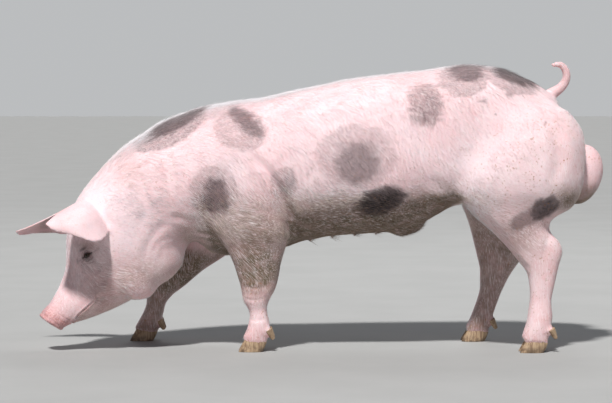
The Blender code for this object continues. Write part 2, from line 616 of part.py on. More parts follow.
def build():
    for obj in list(bpy.data.objects):
        bpy.data.objects.remove(obj)
    boar = bpy.data.collections.new("boar")
    cutters = bpy.data.collections.new("cutters")
    for collection in (boar, cutters):
        bpy.context.scene.collection.children.link(collection)
    body = fused_body(boar)
    scrotum, tail = make_scrotum(boar), make_tail(boar)
    eyes = [make_eye("eye_" + name, sign, boar) for name, sign in SIDES.items()]
    hooves = []
    for foot, (middle, dew) in FEET.items():
        for name, side in (("a", -1), ("b", 1)):
            hooves.append(make_claw(f"hoof_{foot}_{name}", middle, side, boar))
            hooves.append(make_dewclaw(f"dewclaw_{foot}_{name}", dew, middle[1], side, boar))
    for piece in (scrotum, tail, *eyes, *hooves):
        boolean(body, grown(piece, cutters), "DIFFERENCE")
    for cutter in nostril_cutters(cutters):
        boolean(body, cutter, "DIFFERENCE")
    largest_body(body)
    body_cutter = grown(body, cutters)
    ears = [make_ear(name, boar) for name in SIDES]
    for ear in ears:
        largest_body(boolean(ear, body_cutter, "DIFFERENCE"))
    flesh = part_the_body(body, boar, cutters)
    for piece in (*flesh, scrotum, tail, *ears, *eyes, *hooves):
        piece.data.materials.clear()
        piece.data.materials.append(finish(piece.name))
        piece.data.shade_smooth()
        piece.data.set_sharp_from_angle(angle=SHARP_ANGLE)
    centre_on_the_floor(boar.objects)
    for cutter in cutters.objects:
        cutter.hide_render, cutter.display_type = True, "WIRE"


build()
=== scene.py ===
import math
from contextlib import contextmanager

import bpy
import numpy as np
from mathutils import Matrix, Vector, noise
from mathutils.bvhtree import BVHTree


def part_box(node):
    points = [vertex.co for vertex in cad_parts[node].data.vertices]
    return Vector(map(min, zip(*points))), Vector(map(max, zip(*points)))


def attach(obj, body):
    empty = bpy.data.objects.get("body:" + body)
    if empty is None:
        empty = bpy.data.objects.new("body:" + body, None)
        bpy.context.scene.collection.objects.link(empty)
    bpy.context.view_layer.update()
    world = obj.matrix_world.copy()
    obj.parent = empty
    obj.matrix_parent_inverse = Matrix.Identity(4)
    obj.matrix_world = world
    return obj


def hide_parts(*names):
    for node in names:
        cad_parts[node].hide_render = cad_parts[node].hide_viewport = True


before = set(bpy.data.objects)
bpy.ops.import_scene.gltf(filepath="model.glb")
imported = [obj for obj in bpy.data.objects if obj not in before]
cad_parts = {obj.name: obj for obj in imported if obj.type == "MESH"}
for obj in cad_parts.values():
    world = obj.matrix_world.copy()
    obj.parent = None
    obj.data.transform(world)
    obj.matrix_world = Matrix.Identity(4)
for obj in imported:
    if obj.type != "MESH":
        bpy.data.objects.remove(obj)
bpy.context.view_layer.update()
sides = {"left": -1, "right": 1}
feet = [f"{end}_{side}" for end in ("fore", "hind") for side in sides]
clawNodes = [f"hoof_{foot}_{claw}" for foot in feet for claw in "ab"]
dewclawNodes = [f"dewclaw_{foot}_{claw}" for foot in feet for claw in "ab"]
fleshNodes = ["trunk", "neck", "head", "lower_jaw", "snout", "ear_left", "ear_right", "tail", "scrotum",
              "foreleg_left", "foreleg_right", "hindleg_left", "hindleg_right"]


# small helpers for objects and for mesh points as arrays
def selectOnly(*pieces):
    for other in list(bpy.context.selected_objects):
        other.select_set(False)
    for piece in pieces:
        piece.select_set(True)
    bpy.context.view_layer.objects.active = pieces[0]


@contextmanager
def editMode():
    bpy.ops.object.mode_set(mode="EDIT")
    yield
    bpy.ops.object.mode_set(mode="OBJECT")


def applyAll(piece):
    selectOnly(piece)
    for modifier in list(piece.modifiers):
        bpy.ops.object.modifier_apply(modifier=modifier.name)


def mergedCopy(node, name):
    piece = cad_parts[node].copy()
    piece.data = piece.data.copy()
    piece.parent = None
    piece.name = name
    bpy.context.scene.collection.objects.link(piece)
    selectOnly(piece)
    with editMode():
        bpy.ops.mesh.select_all(action="SELECT")
        bpy.ops.mesh.remove_doubles(threshold=0.00001)
    for key in list(piece.keys()):
        del piece[key]
    return piece


def joinAs(pieces, name):
    selectOnly(*pieces)
    bpy.ops.object.join()
    pieces[0].name = name
    return pieces[0]


def valuesOf(items, name, width, kind=float):
    values = np.empty(len(items) * width, dtype=kind)
    items.foreach_get(name, values)
    return values.reshape(-1, width)


def pointsOf(mesh):
    return valuesOf(mesh.vertices, "co", 3)


def normalsOf(mesh):
    return valuesOf(mesh.vertex_normals, "vector", 3, np.float32).astype(float)


def facesOf(mesh):
    mesh.calc_loop_triangles()
    return valuesOf(mesh.loop_triangles, "vertices", 3, np.int32)


def faceCentres(mesh):
    return valuesOf(mesh.polygons, "center", 3)


def setPoints(mesh, points):
    mesh.vertices.foreach_set("co", points.astype(np.float32).ravel())
    mesh.update()


def addLayer(mesh, name, values):
    layer = mesh.attributes.new(name, "FLOAT", "POINT")
    layer.data.foreach_set("value", np.asarray(values, dtype=np.float32))


def faceSelection(mesh, chosen):
    for items in (mesh.vertices, mesh.edges):
        items.foreach_set("select", np.zeros(len(items), dtype=bool))
    mesh.polygons.foreach_set("select", chosen)


def treeOf(pieces):
    corners, triangles, owners = [], [], []
    for piece in pieces:
        start = sum(len(part) for part in corners)
        faces = facesOf(piece.data)
        corners.append(pointsOf(piece.data))
        triangles.append(faces + start)
        owners += [piece.name] * len(faces)
    corners, triangles = np.concatenate(corners).tolist(), np.concatenate(triangles).tolist()
    return BVHTree.FromPolygons(corners, triangles), owners


# soft steps and bumps, from 0 to 1
def ridgeUp(values, low, high):
    share = np.clip((values - low) / (high - low), 0, 1)
    return share * share * (3 - 2 * share)


def ridgeDown(values, low, high):
    return ridgeUp(-values, -high, -low)


def bell(distance, width):
    return np.exp(-(distance / width) ** 2)


def patch(points, x, z, rx, rz):
    # a round bump in side view
    return bell(np.hypot((points[:, 0] - x) / rx, (points[:, 2] - z) / rz), 1)


def noiseAt(points):
    return np.array([noise.noise(p) for p in points.tolist()])


def unit(vectors):
    return vectors / np.maximum(np.linalg.norm(vectors, axis=-1, keepdims=True), 1e-9)


# the head is modelled straight and turned to the boar's left; the midline bends between the two places in x
headTurn = math.radians(12)
headPivot = np.array((-0.2173, 0.0222, 0.0))
headBend = (-0.5373, -0.2173)
straightPivot = np.array((-0.22, 0.0, 0.0))
turnMatrix = np.array(Matrix.Rotation(headTurn, 3, "Z"))


def intoHead(points):
    return (points - headPivot) @ turnMatrix + straightPivot


def outOfHead(points):
    return (points - straightPivot) @ turnMatrix.T + headPivot


def sideOf(points):
    # how far each point lies from the midline, the boar's right being positive
    x, y = points[:, 0], points[:, 1]
    midline = headPivot[1] + np.minimum(x - headPivot[0], 0) * np.sin(headTurn * ridgeDown(x, *headBend))
    return y - midline


# the skin's ground form: all the flesh in one, with the facets smoothed away
skin = {
    "closing": 0.0007, "grain": 0.004, "rounds": 56,
    "strength": 0.7, "flankShare": 0.2, "faceShare": 0.55,
    # what keeps its form: reach of each part, then heights or places in x, and how far it is spared
    "firm": {"ear_left": 0.012, "ear_right": 0.012, "snout": 0.03, "tail": 0.02}, "firmSpared": 0.84,
    "legs": (0.26, 0.36), "legsSpared": 0.45, "face": (-0.62, -0.52), "faceSpared": 0.35, "midline": 0.03,
    # creases between the solids that are evened out: place (x, z) and radii
    "evenRounds": 6, "evenStrength": 0.9,
    "evened": ((0.672, 0.735, 0.075, 0.05), (0.405, 0.52, 0.08, 0.115), (-0.4, 0.38, 0.07, 0.05),
        (-0.462, 0.325, 0.06, 0.065), (0.54, 0.69, 0.085, 0.07)),
}


def ringsOf(mesh):
    # the neighbours of every point in one list, where each point's own start in it, and how many they are
    edges = valuesOf(mesh.edges, "vertices", 2, np.int64)
    starts = np.concatenate((edges[:, 0], edges[:, 1]))
    ends = np.concatenate((edges[:, 1], edges[:, 0]))
    counts = np.bincount(starts, minlength=len(mesh.vertices))
    return ends[np.argsort(starts, kind="stable")], np.concatenate(([0], np.cumsum(counts)[:-1])), counts


def smoothed(values, rings, rounds, strength):
    ends, first, counts = rings
    values = values.reshape(len(counts), -1).copy()
    strength = np.broadcast_to(strength, len(counts)).reshape(-1, 1)
    for _ in range(rounds):
        values += strength * (np.add.reduceat(values[ends], first, axis=0) / counts[:, None] - values)
    return values


def nearNode(points, node, reach, tree):
    low, high = (np.array(corner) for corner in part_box(node))
    near = np.flatnonzero(((points > low - reach) & (points < high + reach)).all(axis=1))
    share = np.zeros(len(points))
    for i in near:
        distance = tree.find_nearest(points[i], reach)[3]
        share[i] = 0.0 if distance is None else 1 - distance / reach
    return share


def makeFlesh():
    nodes = (*fleshNodes, "eye_left", "eye_right", *clawNodes, *dewclawNodes)
    forms = [mergedCopy(node, node + "_flesh") for node in nodes]
    sources, owners = treeOf(forms)
    trees = {node: treeOf([bpy.data.objects[node + "_flesh"]])[0] for node in skin["firm"]}
    flesh = joinAs(forms, "skin")
    grow = flesh.modifiers.new("grow", "DISPLACE")
    grow.strength, grow.mid_level = skin["closing"], 0
    fuse = flesh.modifiers.new("fuse", "REMESH")
    fuse.mode, fuse.voxel_size = "VOXEL", skin["grain"]
    applyAll(flesh)
    points, rings = pointsOf(flesh.data), ringsOf(flesh.data)
    firm = np.zeros(len(points))
    for node, reach in skin["firm"].items():
        firm = np.maximum(firm, nearNode(points, node, reach, trees[node]))
    legs = ridgeDown(points[:, 2], *skin["legs"]) * skin["legsSpared"]
    face = ridgeDown(intoHead(points)[:, 0], *skin["face"]) * skin["faceSpared"]
    spared = np.maximum(np.maximum(legs, face), skin["firmSpared"] * np.minimum(firm * 2, 1))
    strength = smoothed(skin["strength"] * (1 - spared), rings, 6, 0.5)[:, 0]
    even = sum(patch(points, *place) for place in skin["evened"])
    even *= (1 - firm) * (np.abs(points[:, 1] - headPivot[1]) > skin["midline"])
    even = skin["evenStrength"] * np.clip(even, 0, 1)
    points = smoothed(points, rings, skin["evenRounds"] * skin["rounds"], even)
    once = smoothed(points, rings, skin["rounds"], strength)
    # the second pass gives back what the first one shrank
    twice = once + smoothed(points - once, rings, skin["rounds"], strength)
    setPoints(flesh.data, twice)
    print("flesh fused:", len(points), "points")
    return flesh, sources, owners


flesh, sources, owners = makeFlesh()

# detail goes where the folds are: flanks are thinned, face, mouth, lids and teats are divided
detail = {
    "eye": (-0.671, 0.075, 0.288),
    "reach": {"teats": 0.02, "muzzle": 0.016, "lips": 0.0065, "lids": 0.034, "rims": 0.0185},
    "rounds": ("teats", "teats", "muzzle", "lips", "lids", "lids", "rims"),
    "quickRounds": ("teats", "muzzle", "lids"),
    "mouth": ((-0.713, 0.05), (-0.712, 0.085), (-0.696, 0.11), (-0.648, 0.154)),
    # kept fine: ahead of this x, below this height, and the tail behind and above
    "fineFace": -0.5, "fineFeet": 0.07, "fineTail": (0.7, 0.745), "belly": (0.28, 0.45),
    "mouthEnd": -0.6, "tip": (-0.745, 0.135), "tipEnd": -0.7,
}


def alongPath(points, path):
    # distance from a polyline in side view, and how far along it the nearest place lies, from 0 to 1
    path = np.array(path, dtype=float)
    best, place = np.full(len(points), 9.0), np.zeros(len(points))
    steps = np.linalg.norm(np.diff(path, axis=0), axis=1)
    run, total = 0.0, steps.sum()
    for start, end, step in zip(path, path[1:], steps):
        share = np.clip(((points - start) @ (end - start)) / step**2, 0, 1)
        distance = np.linalg.norm(points - (start + share[:, None] * (end - start)), axis=1)
        nearer = distance < best
        best[nearer], place[nearer] = distance[nearer], (run + share[nearer] * step) / total
        run += step
    return best, place


def refine(flesh):
    mesh = flesh.data
    selectOnly(flesh)
    with editMode():
        bpy.ops.mesh.select_mode(type="FACE")
    for share, fine in ((skin["flankShare"], False), (skin["faceShare"], True)):
        centres = faceCentres(mesh)
        tail = (centres[:, 0] > detail["fineTail"][0]) & (centres[:, 2] > detail["fineTail"][1])
        kept = (intoHead(centres)[:, 0] < detail["fineFace"]) | (centres[:, 2] < detail["fineFeet"]) | tail
        faceSelection(mesh, kept == fine)
        with editMode():
            bpy.ops.mesh.decimate(ratio=share)
    for place in detail["rounds"]:
        centres, reach = faceCentres(mesh), detail["reach"][place]
        straight = intoHead(centres)
        ahead, height = straight[:, 0], straight[:, 2]
        if place in ("lids", "rims"):
            eyes = [np.array(detail["eye"]) * (1, sign, 1) for sign in sides.values()]
            chosen = np.min([np.linalg.norm(straight - eye, axis=1) for eye in eyes], axis=0) < reach
        elif place in ("muzzle", "lips"):
            low = height + 0.9 * (ahead - detail["tip"][0]) < detail["tip"][1]
            tip = low & (ahead < detail["tipEnd"])
            mouth = alongPath(straight[:, ::2], detail["mouth"])[0] < reach
            chosen = (ahead < detail["mouthEnd"]) & (mouth | (tip & (place == "muzzle")))
        else:
            away = [np.hypot(centres[:, 0] - x, centres[:, 1] - y) for x, y in teatPlaces()]
            low, high = detail["belly"]
            chosen = (np.min(away, axis=0) < reach) & (centres[:, 2] > low) & (centres[:, 2] < high)
        faceSelection(mesh, chosen)
        with editMode():
            bpy.ops.mesh.subdivide(number_cuts=1, smoothness=0)
    print("flesh refined:", len(mesh.vertices), "points", len(facesOf(mesh)), "triangles")


# folds press in and swellings stand out, in metres; the head's are in the straight head's own frame
eyeForm = {
    "ball": 0.0125, "deeper": 0.0026, "lid": 0.0021, "slant": math.radians(30), "halfLength": 0.0118,
    "upper": 0.0058, "lower": 0.0042, "inside": 0.0034, "rim": 0.0007,
    "facing": 0.024, "shaped": 0.045, "hold": (0.008, 0.02),
    # place along and above the slit, radius, height or depth
    "brow": (-0.002, 0.017, 0.009, 0.0022), "cornerHollow": (-0.02, -0.004, 0.008, 0.0016),
    "browCrease": 0.003,
    # creases: distance from the slit (below it negative), depth, half width
    "folds": ((0.0056, 0.0019, 0.0012), (0.0104, 0.0015, 0.0014), (-0.0058, 0.0015, 0.0012),
        (-0.0112, 0.0013, 0.0015), (-0.019, 0.0011, 0.0022)),
}
muzzle = {
    "disc": (-0.777, 0.0, 0.0805), "facing": (-0.552, 0.0, -0.834),
    "halfWidth": 0.047, "halfHeight": 0.0408,
    "end": -0.66, "depth": 0.06, "rim": 0.0014, "rimGroove": 0.0016, "cleft": 0.0012,
    "nostril": (0.0095, 0.0105), "nostrilSpread": 0.0185, "bore": 0.0095, "boreRim": 0.001,
    "wrinkle": 0.0017, "wrinkles": (-0.011, -0.019, -0.028, -0.038),
}
# the mouth: raised lips beside a slit, and a crease round its corner, each with its height and half width
mouthForm = {"lip": 0.0011, "lipWidth": 0.0034, "lipFrom": 0.0055, "slit": 0.0042, "slitWidth": 0.0015,
             "crease": 0.0022, "creaseWidth": 0.004, "creaseFrom": 0.009}
# each fold: side view path (x, z), which side, depth, half width
folds = {
    "shoulder": (((-0.172, 0.603), (-0.12, 0.539), (-0.079, 0.475), (-0.056, 0.41), (-0.05, 0.346)),
        "both", 0.0074, 0.013),
    "elbow": (((-0.062, 0.392), (-0.047, 0.356), (-0.05, 0.33)), "both", 0.004, 0.008),
    "ribWrinkleA": (((-0.066, 0.548), (-0.058, 0.52), (-0.056, 0.492)), "both", 0.0016, 0.0045),
    "ribWrinkleB": (((-0.046, 0.552), (-0.036, 0.522), (-0.034, 0.488)), "both", 0.002, 0.0045),
    "ribWrinkleC": (((-0.022, 0.546), (-0.014, 0.52), (-0.012, 0.494)), "left", 0.0016, 0.0045),
    "ribWrinkleD": (((0.002, 0.544), (0.008, 0.516), (0.008, 0.49)), "both", 0.0013, 0.0045),
    "jawAngle": (((-0.402, 0.39), (-0.444, 0.361), (-0.467, 0.314), (-0.479, 0.266)),
        "both", 0.0022, 0.014),
    "jowlFold": (((-0.405, 0.352), (-0.442, 0.318), (-0.456, 0.282)), "both", 0.0012, 0.007),
    "jowlTop": (((-0.405, 0.401), (-0.372, 0.399), (-0.333, 0.382)), "both", 0.0018, 0.01),
    "eyeBagLeft": (((-0.656, 0.27), (-0.64, 0.252), (-0.622, 0.244), (-0.602, 0.25)),
        "left", 0.0016, 0.006),
    "eyeBagRight": (((-0.687, 0.27), (-0.671, 0.252), (-0.653, 0.244), (-0.633, 0.25)),
        "right", 0.0016, 0.006),
    "throatFoldA": (((-0.338, 0.332), (-0.3, 0.322), (-0.262, 0.318)), "left", 0.003, 0.006),
    "throatFoldB": (((-0.345, 0.352), (-0.3, 0.344), (-0.262, 0.342)), "left", 0.0024, 0.006),
    "neckFoldA": (((-0.52, 0.56), (-0.492, 0.47), (-0.47, 0.4)), "both", 0.002, 0.012),
    "neckFoldB": (((-0.43, 0.6), (-0.41, 0.52), (-0.402, 0.452)), "both", 0.0018, 0.014),
    "hamGroove": (((0.716, 0.665), (0.733, 0.575), (0.712, 0.488)), "both", 0.0044, 0.019),
    "stifleFold": (((0.352, 0.52), (0.388, 0.492), (0.424, 0.452), (0.446, 0.424)), "both", 0.0018, 0.016),
    "stifleCreaseA": (((0.452, 0.44), (0.5, 0.384), (0.56, 0.326)), "both", 0.0014, 0.008),
    "stifleCreaseB": (((0.478, 0.448), (0.53, 0.392), (0.596, 0.318)), "both", 0.0012, 0.009),
    "hockCrease": (((0.612, 0.292), (0.634, 0.262), (0.652, 0.246)), "left", 0.002, 0.006),
    "hockHollow": (((0.712, 0.352), (0.7, 0.31), (0.698, 0.276)), "left", 0.0018, 0.011),
    "kneeCreaseA": (((-0.2, 0.196), (-0.16, 0.19), (-0.118, 0.194)), "left", 0.0014, 0.004),
    "kneeCreaseB": (((-0.196, 0.16), (-0.16, 0.154), (-0.12, 0.16)), "left", 0.0014, 0.004),
    "fetlockFront": (((-0.176, 0.098), (-0.15, 0.094), (-0.118, 0.098)), "left", 0.0014, 0.004),
}
# each swelling or hollow: centre (x, z), radii (x, z), height
swellings = {
    "flankHollow": ((0.35, 0.64), (0.05, 0.08), -0.003),
    "flankFold": ((0.405, 0.495), (0.05, 0.055), 0.01),
    "flankEdge": ((0.402, 0.462), (0.056, 0.026), 0.009),
    "jowl": ((-0.42, 0.35), (0.07, 0.05), 0.006),
    "loinMuscle": ((0.3, 0.775), (0.2, 0.03), 0.0025),
    "shoulderBlade": ((-0.235, 0.6), (0.06, 0.075), 0.0055),
    "shoulderHollow": ((-0.125, 0.64), (0.05, 0.06), -0.005),
    "neckHollow": ((-0.395, 0.52), (0.05, 0.06), -0.003),
    "hamRear": ((0.77, 0.6), (0.03, 0.075), 0.003),
    "hamHollow": ((0.52, 0.61), (0.04, 0.09), -0.0025),
    "hipBone": ((0.47, 0.74), (0.035, 0.035), 0.002),
    "ribHollow": ((0.17, 0.42), (0.12, 0.03), -0.002),
    "cheekBone": ((-0.59, 0.33), (0.035, 0.03), 0.003),
    "templeHollow": ((-0.625, 0.372), (0.022, 0.026), -0.003),
}
teats = {
    "spots": (0.01, 0.076, 0.142, 0.206, 0.268), "apart": 0.046, "splay": 0.01, "radius": 0.006,
    "height": 0.0085,
}
# unevenness of the skin, as size and height, which fades on the face
relief = {"slow": (0.085, 0.0016), "quick": (0.021, 0.0002), "calmFace": (-0.65, -0.55)}


def teatPlaces():
    apart = [teats["apart"] + teats["splay"] * x for x in teats["spots"]]
    return [(x, headPivot[1] + sign * away) for x, away in zip(teats["spots"], apart) for sign in (-1, 1)]


def shapeEye(points, normals, sign, places):
    form = eyeForm
    centre = np.array(detail["eye"]) * (1, sign, 1)
    around = np.linalg.norm(points - centre, axis=1)
    out = unit(normals[around < form["facing"]].mean(axis=0))
    along = np.array((math.cos(form["slant"]), 0, math.sin(form["slant"])))
    along = unit(along - (along @ out) * out)
    up = np.cross(out, along)
    up *= np.sign(up[2])
    ball = centre - form["deeper"] * out
    places[sign] = (ball, out, along)
    near = np.flatnonzero((around < form["shaped"]) & (normals @ out > 0.2))
    spot = points[near] - ball
    a, b, height = spot @ along, spot @ up, spot @ out
    reach = np.hypot(a, b)

    def mound(x, y, radius, high):
        return high * bell(np.hypot(a - x, b - y), radius)

    dome = np.sqrt(np.maximum((form["ball"] + form["lid"]) ** 2 - reach**2, 0.00002))
    hold = 1 - ridgeUp(reach, *form["hold"])
    target = height * (1 - hold) + dome * hold
    target += mound(*form["brow"])
    above = bell(np.hypot((a + 0.003 + 0.3 * (b - 0.0225)) / 0.015, (b - 0.0225) / 0.0052), 1)
    target -= form["browCrease"] * above
    target -= mound(*form["cornerHollow"])
    arch = np.maximum(1 - (a / form["halfLength"]) ** 2, -1.2)
    upper, lower = form["upper"] * arch, -form["lower"] * arch
    inside = np.minimum(upper - b, b - lower)
    fade, creases = bell(a, 0.021), np.zeros(len(near))
    for offset, depth, width in form["folds"]:
        line = upper if offset > 0 else lower
        gap = b - (line * 0.8 + offset) - 0.0006 * np.sin(a * 420 + offset * 900)
        target -= fade * depth * (bell(gap, width) - 0.45 * bell(np.abs(gap) - 2.1 * width, width))
        creases = np.maximum(creases, fade * bell(gap, 1.6 * width) * depth / form["folds"][0][1])
    target += form["rim"] * bell(inside + 0.0013, 0.001) * (np.abs(a) < form["halfLength"] + 0.002)
    sunk = np.sqrt(np.maximum((form["ball"] - form["inside"]) ** 2 - reach**2, 0.00001))
    hole = ridgeUp(inside, -0.0004, 0.0011)
    target = target * (1 - hole) + sunk * hole
    points[near] += (target - height)[:, None] * out
    # the lids' dark rims are their own colour; the rest is painted shade, in a wide ring round the eye, in
    # the corners of the slit, in the creases and in the crease under the brow
    corners = bell(np.abs(a) - form["halfLength"] - 0.003, 0.008) * bell(b, 0.0048)
    rims, eyeShade = bell(np.maximum(-inside, 0), 0.007), bell(reach, 0.025)
    lid = np.zeros(len(points))  # how dark the skin is round the slit and in its creases
    lid[near] = np.max((rims, 0.6 * eyeShade, 0.95 * corners, 0.6 * creases, 0.85 * above), axis=0)
    return lid


def shapeMuzzle(points, normals):
    facing = np.array(muzzle["facing"])
    inPlane = np.array((-facing[2], 0, facing[0]))
    spot = points - np.array(muzzle["disc"])
    behind, y, v = spot @ facing, spot[:, 1] / muzzle["halfWidth"], spot @ inPlane / muzzle["halfHeight"]
    radius = np.hypot(y, v)
    front = (points[:, 0] < muzzle["end"]) & (behind > -muzzle["depth"])
    push = np.zeros(len(points))
    push += muzzle["rim"] * bell(radius - 0.96, 0.1) * bell(behind + 0.003, 0.006)
    push -= muzzle["rimGroove"] * bell(radius - 1.02, 0.1) * bell(behind + 0.013, 0.004)
    push -= muzzle["cleft"] * bell(y, 0.07) * (behind > -0.004) * (radius < 0.9)
    upperSide = ridgeUp(v, -0.6, 0.2)
    for place in muzzle["wrinkles"]:
        gap = behind - place + 0.0012 * np.sin(y * 3.1 + place * 400)
        push -= upperSide * muzzle["wrinkle"] * (bell(gap, 0.0016) - 0.4 * bell(gap, 0.0042))
    width, height = muzzle["nostril"]
    bores = np.zeros(len(points))
    for sign in sides.values():
        middle = sign * muzzle["nostrilSpread"] / width
        away = np.hypot(points[:, 1] / width - middle, (spot @ inPlane) / height)
        bore, rim = bell(away, 0.62), bell(away - 1.25, 0.3)
        push += (behind > -0.012) * (muzzle["boreRim"] * rim - muzzle["bore"] * bore)
        bores = np.maximum(bores, bore * front * (behind > -0.016))
    points += (push * front)[:, None] * normals
    return bores


def shapeMouth(points, normals):
    distance, place = alongPath(points[:, ::2], detail["mouth"])
    form, corner = mouthForm, detail["mouth"][-1]
    lips = form["lip"] * bell(distance - form["lipFrom"], form["lipWidth"])
    push = (1 - ridgeUp(place, 0.82, 1.0)) * (lips - form["slit"] * bell(distance, form["slitWidth"]))
    away = np.linalg.norm(points[:, ::2] - np.array(corner), axis=1)
    push -= form["crease"] * bell(away - form["creaseFrom"], form["creaseWidth"]) * (points[:, 0] > corner[0])
    points += (push * (points[:, 0] < detail["mouthEnd"]))[:, None] * normals


def shapeBody(flesh):
    mesh = flesh.data
    points, normals = pointsOf(mesh), normalsOf(mesh)
    side = sideOf(points)
    flanks = np.clip(np.abs(normals[:, 1]) * 2.5, 0, 1)
    for path, on, depth, width in folds.values():
        distance, place = alongPath(points[:, ::2], path)
        shown = np.zeros(len(points))
        for sign in sides.values() if on == "both" else (sides[on],):
            shown = np.maximum(shown, ridgeUp(side * sign, 0.02, 0.05) * (normals[:, 1] * sign > 0))
        push = -depth * (bell(distance, width) - 0.35 * bell(distance - 1.9 * width, width))
        ends = ridgeUp(place, -0.05, 0.25) * (1 - ridgeUp(place, 0.75, 1.05))
        points += (push * ends * flanks * shown)[:, None] * normals
    for centre, radii, height in swellings.values():
        points += (height * patch(points, *centre, *radii) * flanks)[:, None] * normals
    (slowSize, slowHeight), (quickSize, quickHeight) = relief["slow"], relief["quick"]
    rise = slowHeight * noiseAt(points / slowSize) + quickHeight * noiseAt(points / quickSize + 7)
    calm = 1 - 0.7 * ridgeDown(intoHead(points)[:, 0], *relief["calmFace"])
    points += (rise * calm)[:, None] * normals
    setPoints(mesh, points)
    print("body folds shaped")


def shapeHead(flesh):
    mesh = flesh.data
    points, normals = pointsOf(mesh), normalsOf(mesh)
    for x, y in teatPlaces():
        drop = teats["height"] * bell(np.hypot(points[:, 0] - x, points[:, 1] - y), teats["radius"])
        points[:, 2] -= drop * (normals[:, 2] < -0.3) * (points[:, 2] > detail["belly"][0])
    straight, facing = intoHead(points), normals @ turnMatrix
    start, eyePlaces = straight.copy(), {}
    # painted shade: the skin inside the nostrils is darkened
    lid = 0.85 * shapeMuzzle(straight, facing) ** 2
    shapeMouth(straight, facing)
    for sign in sides.values():
        lid = np.maximum(lid, shapeEye(straight, facing, sign, eyePlaces))
    moved = np.linalg.norm(straight - start, axis=1) > 0
    points[moved] = outOfHead(straight[moved])
    setPoints(mesh, points)
    print("teats, lids, muzzle and mouth shaped")
    return eyePlaces, lid


shapeBody(flesh)
refine(flesh)
eyePlaces, lid = shapeHead(flesh)


# which solid each point of the skin belongs to
def kindsOf(points):
    def kind(name):
        first = name.split("_")[0]
        return {"hoof": "horn", "dewclaw": "horn", "foreleg": "leg", "hindleg": "leg"}.get(first, first)

    names = [kind(owner) for owner in owners]
    found = np.array([names[sources.find_nearest(point)[2]] for point in points.tolist()])
    return {name: (found == name).astype(float) for name in
            ("trunk", "neck", "head", "lower", "snout", "ear", "tail", "scrotum", "leg", "eye", "horn")}


# the coat's depth, by which the skin lies inside the solids, and how the skin meets the hooves
depths = {
    "trunk": 0.0026, "neck": 0.0026, "head": 0.0012, "lower": 0.0014, "snout": 0.0006, "ear": 0.0014,
    "tail": 0.0012, "scrotum": 0.0008, "leg": 0.0016, "eye": 0.0, "horn": 0.0,
}
rootDepths = {
    "topLine": 0.005, "topHeights": (0.5, 0.62), "hornInside": 0.0022, "coronet": 0.001,
    "coronetOut": 0.0004, "footHeight": 0.1, "hornReach": 0.012,
}


def insetSkin(flesh):
    mesh = flesh.data
    points, rings = pointsOf(mesh), ringsOf(mesh)
    kinds = kindsOf(points)
    soft = {name: smoothed(mask, rings, 5, 0.5)[:, 0] for name, mask in kinds.items()}
    normals = unit(smoothed(normalsOf(mesh), rings, 2, 0.4))
    depth = sum(depths[name] * share for name, share in soft.items())
    top = ridgeUp(normals[:, 2], 0.55, 0.9) * np.clip(soft["trunk"] + soft["neck"], 0, 1)
    top *= ridgeUp(points[:, 2], *rootDepths["topHeights"])
    depth += rootDepths["topLine"] * top
    points -= depth[:, None] * normals
    horns, _ = treeOf([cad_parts[node] for node in (*clawNodes, *dewclawNodes)])
    hornShare = ridgeUp(smoothed(kinds["horn"], rings, 10, 0.5)[:, 0], 0.2, 0.8)
    for i in np.flatnonzero(points[:, 2] < rootDepths["footHeight"]):
        place, facing, _, distance = horns.find_nearest(Vector(points[i]), rootDepths["hornReach"])
        if place is None:
            continue
        outside = (Vector(points[i]) - place).dot(facing)
        inner = np.array(place - rootDepths["hornInside"] * facing)
        outer = points[i] if outside > 0 else np.array(place + rootDepths["coronetOut"] * facing)
        outer = outer + rootDepths["coronet"] * bell(distance - 0.004, 0.003) * normals[i]
        points[i] = inner * hornShare[i] + outer * (1 - hornShare[i])
    setPoints(mesh, points)
    print("skin set in by the coat's depth")
    return kinds, soft


kinds, soft = insetSkin(flesh)
skinPoints, skinNormals = pointsOf(flesh.data), normalsOf(flesh.data)

# markings: side, middle (x, z), half length, half width, slant in degrees, tone; halos tint the skin alone,
# cores the skin and its hairs
halos = (
    ("left", -0.404, 0.655, 0.118, 0.046, 27, 1.0),
    ("left", -0.196, 0.656, 0.082, 0.06, -14, 0.66),
    ("left", -0.279, 0.712, 0.052, 0.026, 15, 0.52),
    ("left", -0.272, 0.474, 0.072, 0.078, 0, 0.62),
    ("left", -0.067, 0.5, 0.042, 0.046, 0, 0.62),
    ("left", 0.143, 0.582, 0.114, 0.092, 0, 0.5),
    ("left", 0.344, 0.729, 0.053, 0.064, 0, 0.92),
    ("left", 0.453, 0.804, 0.072, 0.052, 0, 0.8),
    ("left", -0.53, 0.418, 0.06, 0.046, 0, 0.14),
    # painted shade: the face halo greys the face below the ears, and the next two halos darken the eye bags
    ("both", -0.655, 0.27, 0.08, 0.115, 0, 0.44),
    ("left", -0.634, 0.252, 0.036, 0.026, -20, 0.62),
    ("right", -0.664, 0.252, 0.036, 0.026, -20, 0.5),
    ("both", 0.6, 0.806, 0.088, 0.042, -20, 0.78),
    ("right", -0.36, 0.56, 0.08, 0.06, 30, 0.62),
    ("right", -0.12, 0.65, 0.085, 0.07, 0, 0.6),
    ("right", 0.08, 0.52, 0.07, 0.06, 15, 0.6),
    ("right", 0.27, 0.7, 0.1, 0.075, -10, 0.65),
    ("right", 0.52, 0.74, 0.07, 0.055, 0, 0.7),
    ("right", 0.64, 0.52, 0.06, 0.075, 10, 0.6),
    ("right", -0.56, 0.44, 0.05, 0.04, 0, 0.4),
)
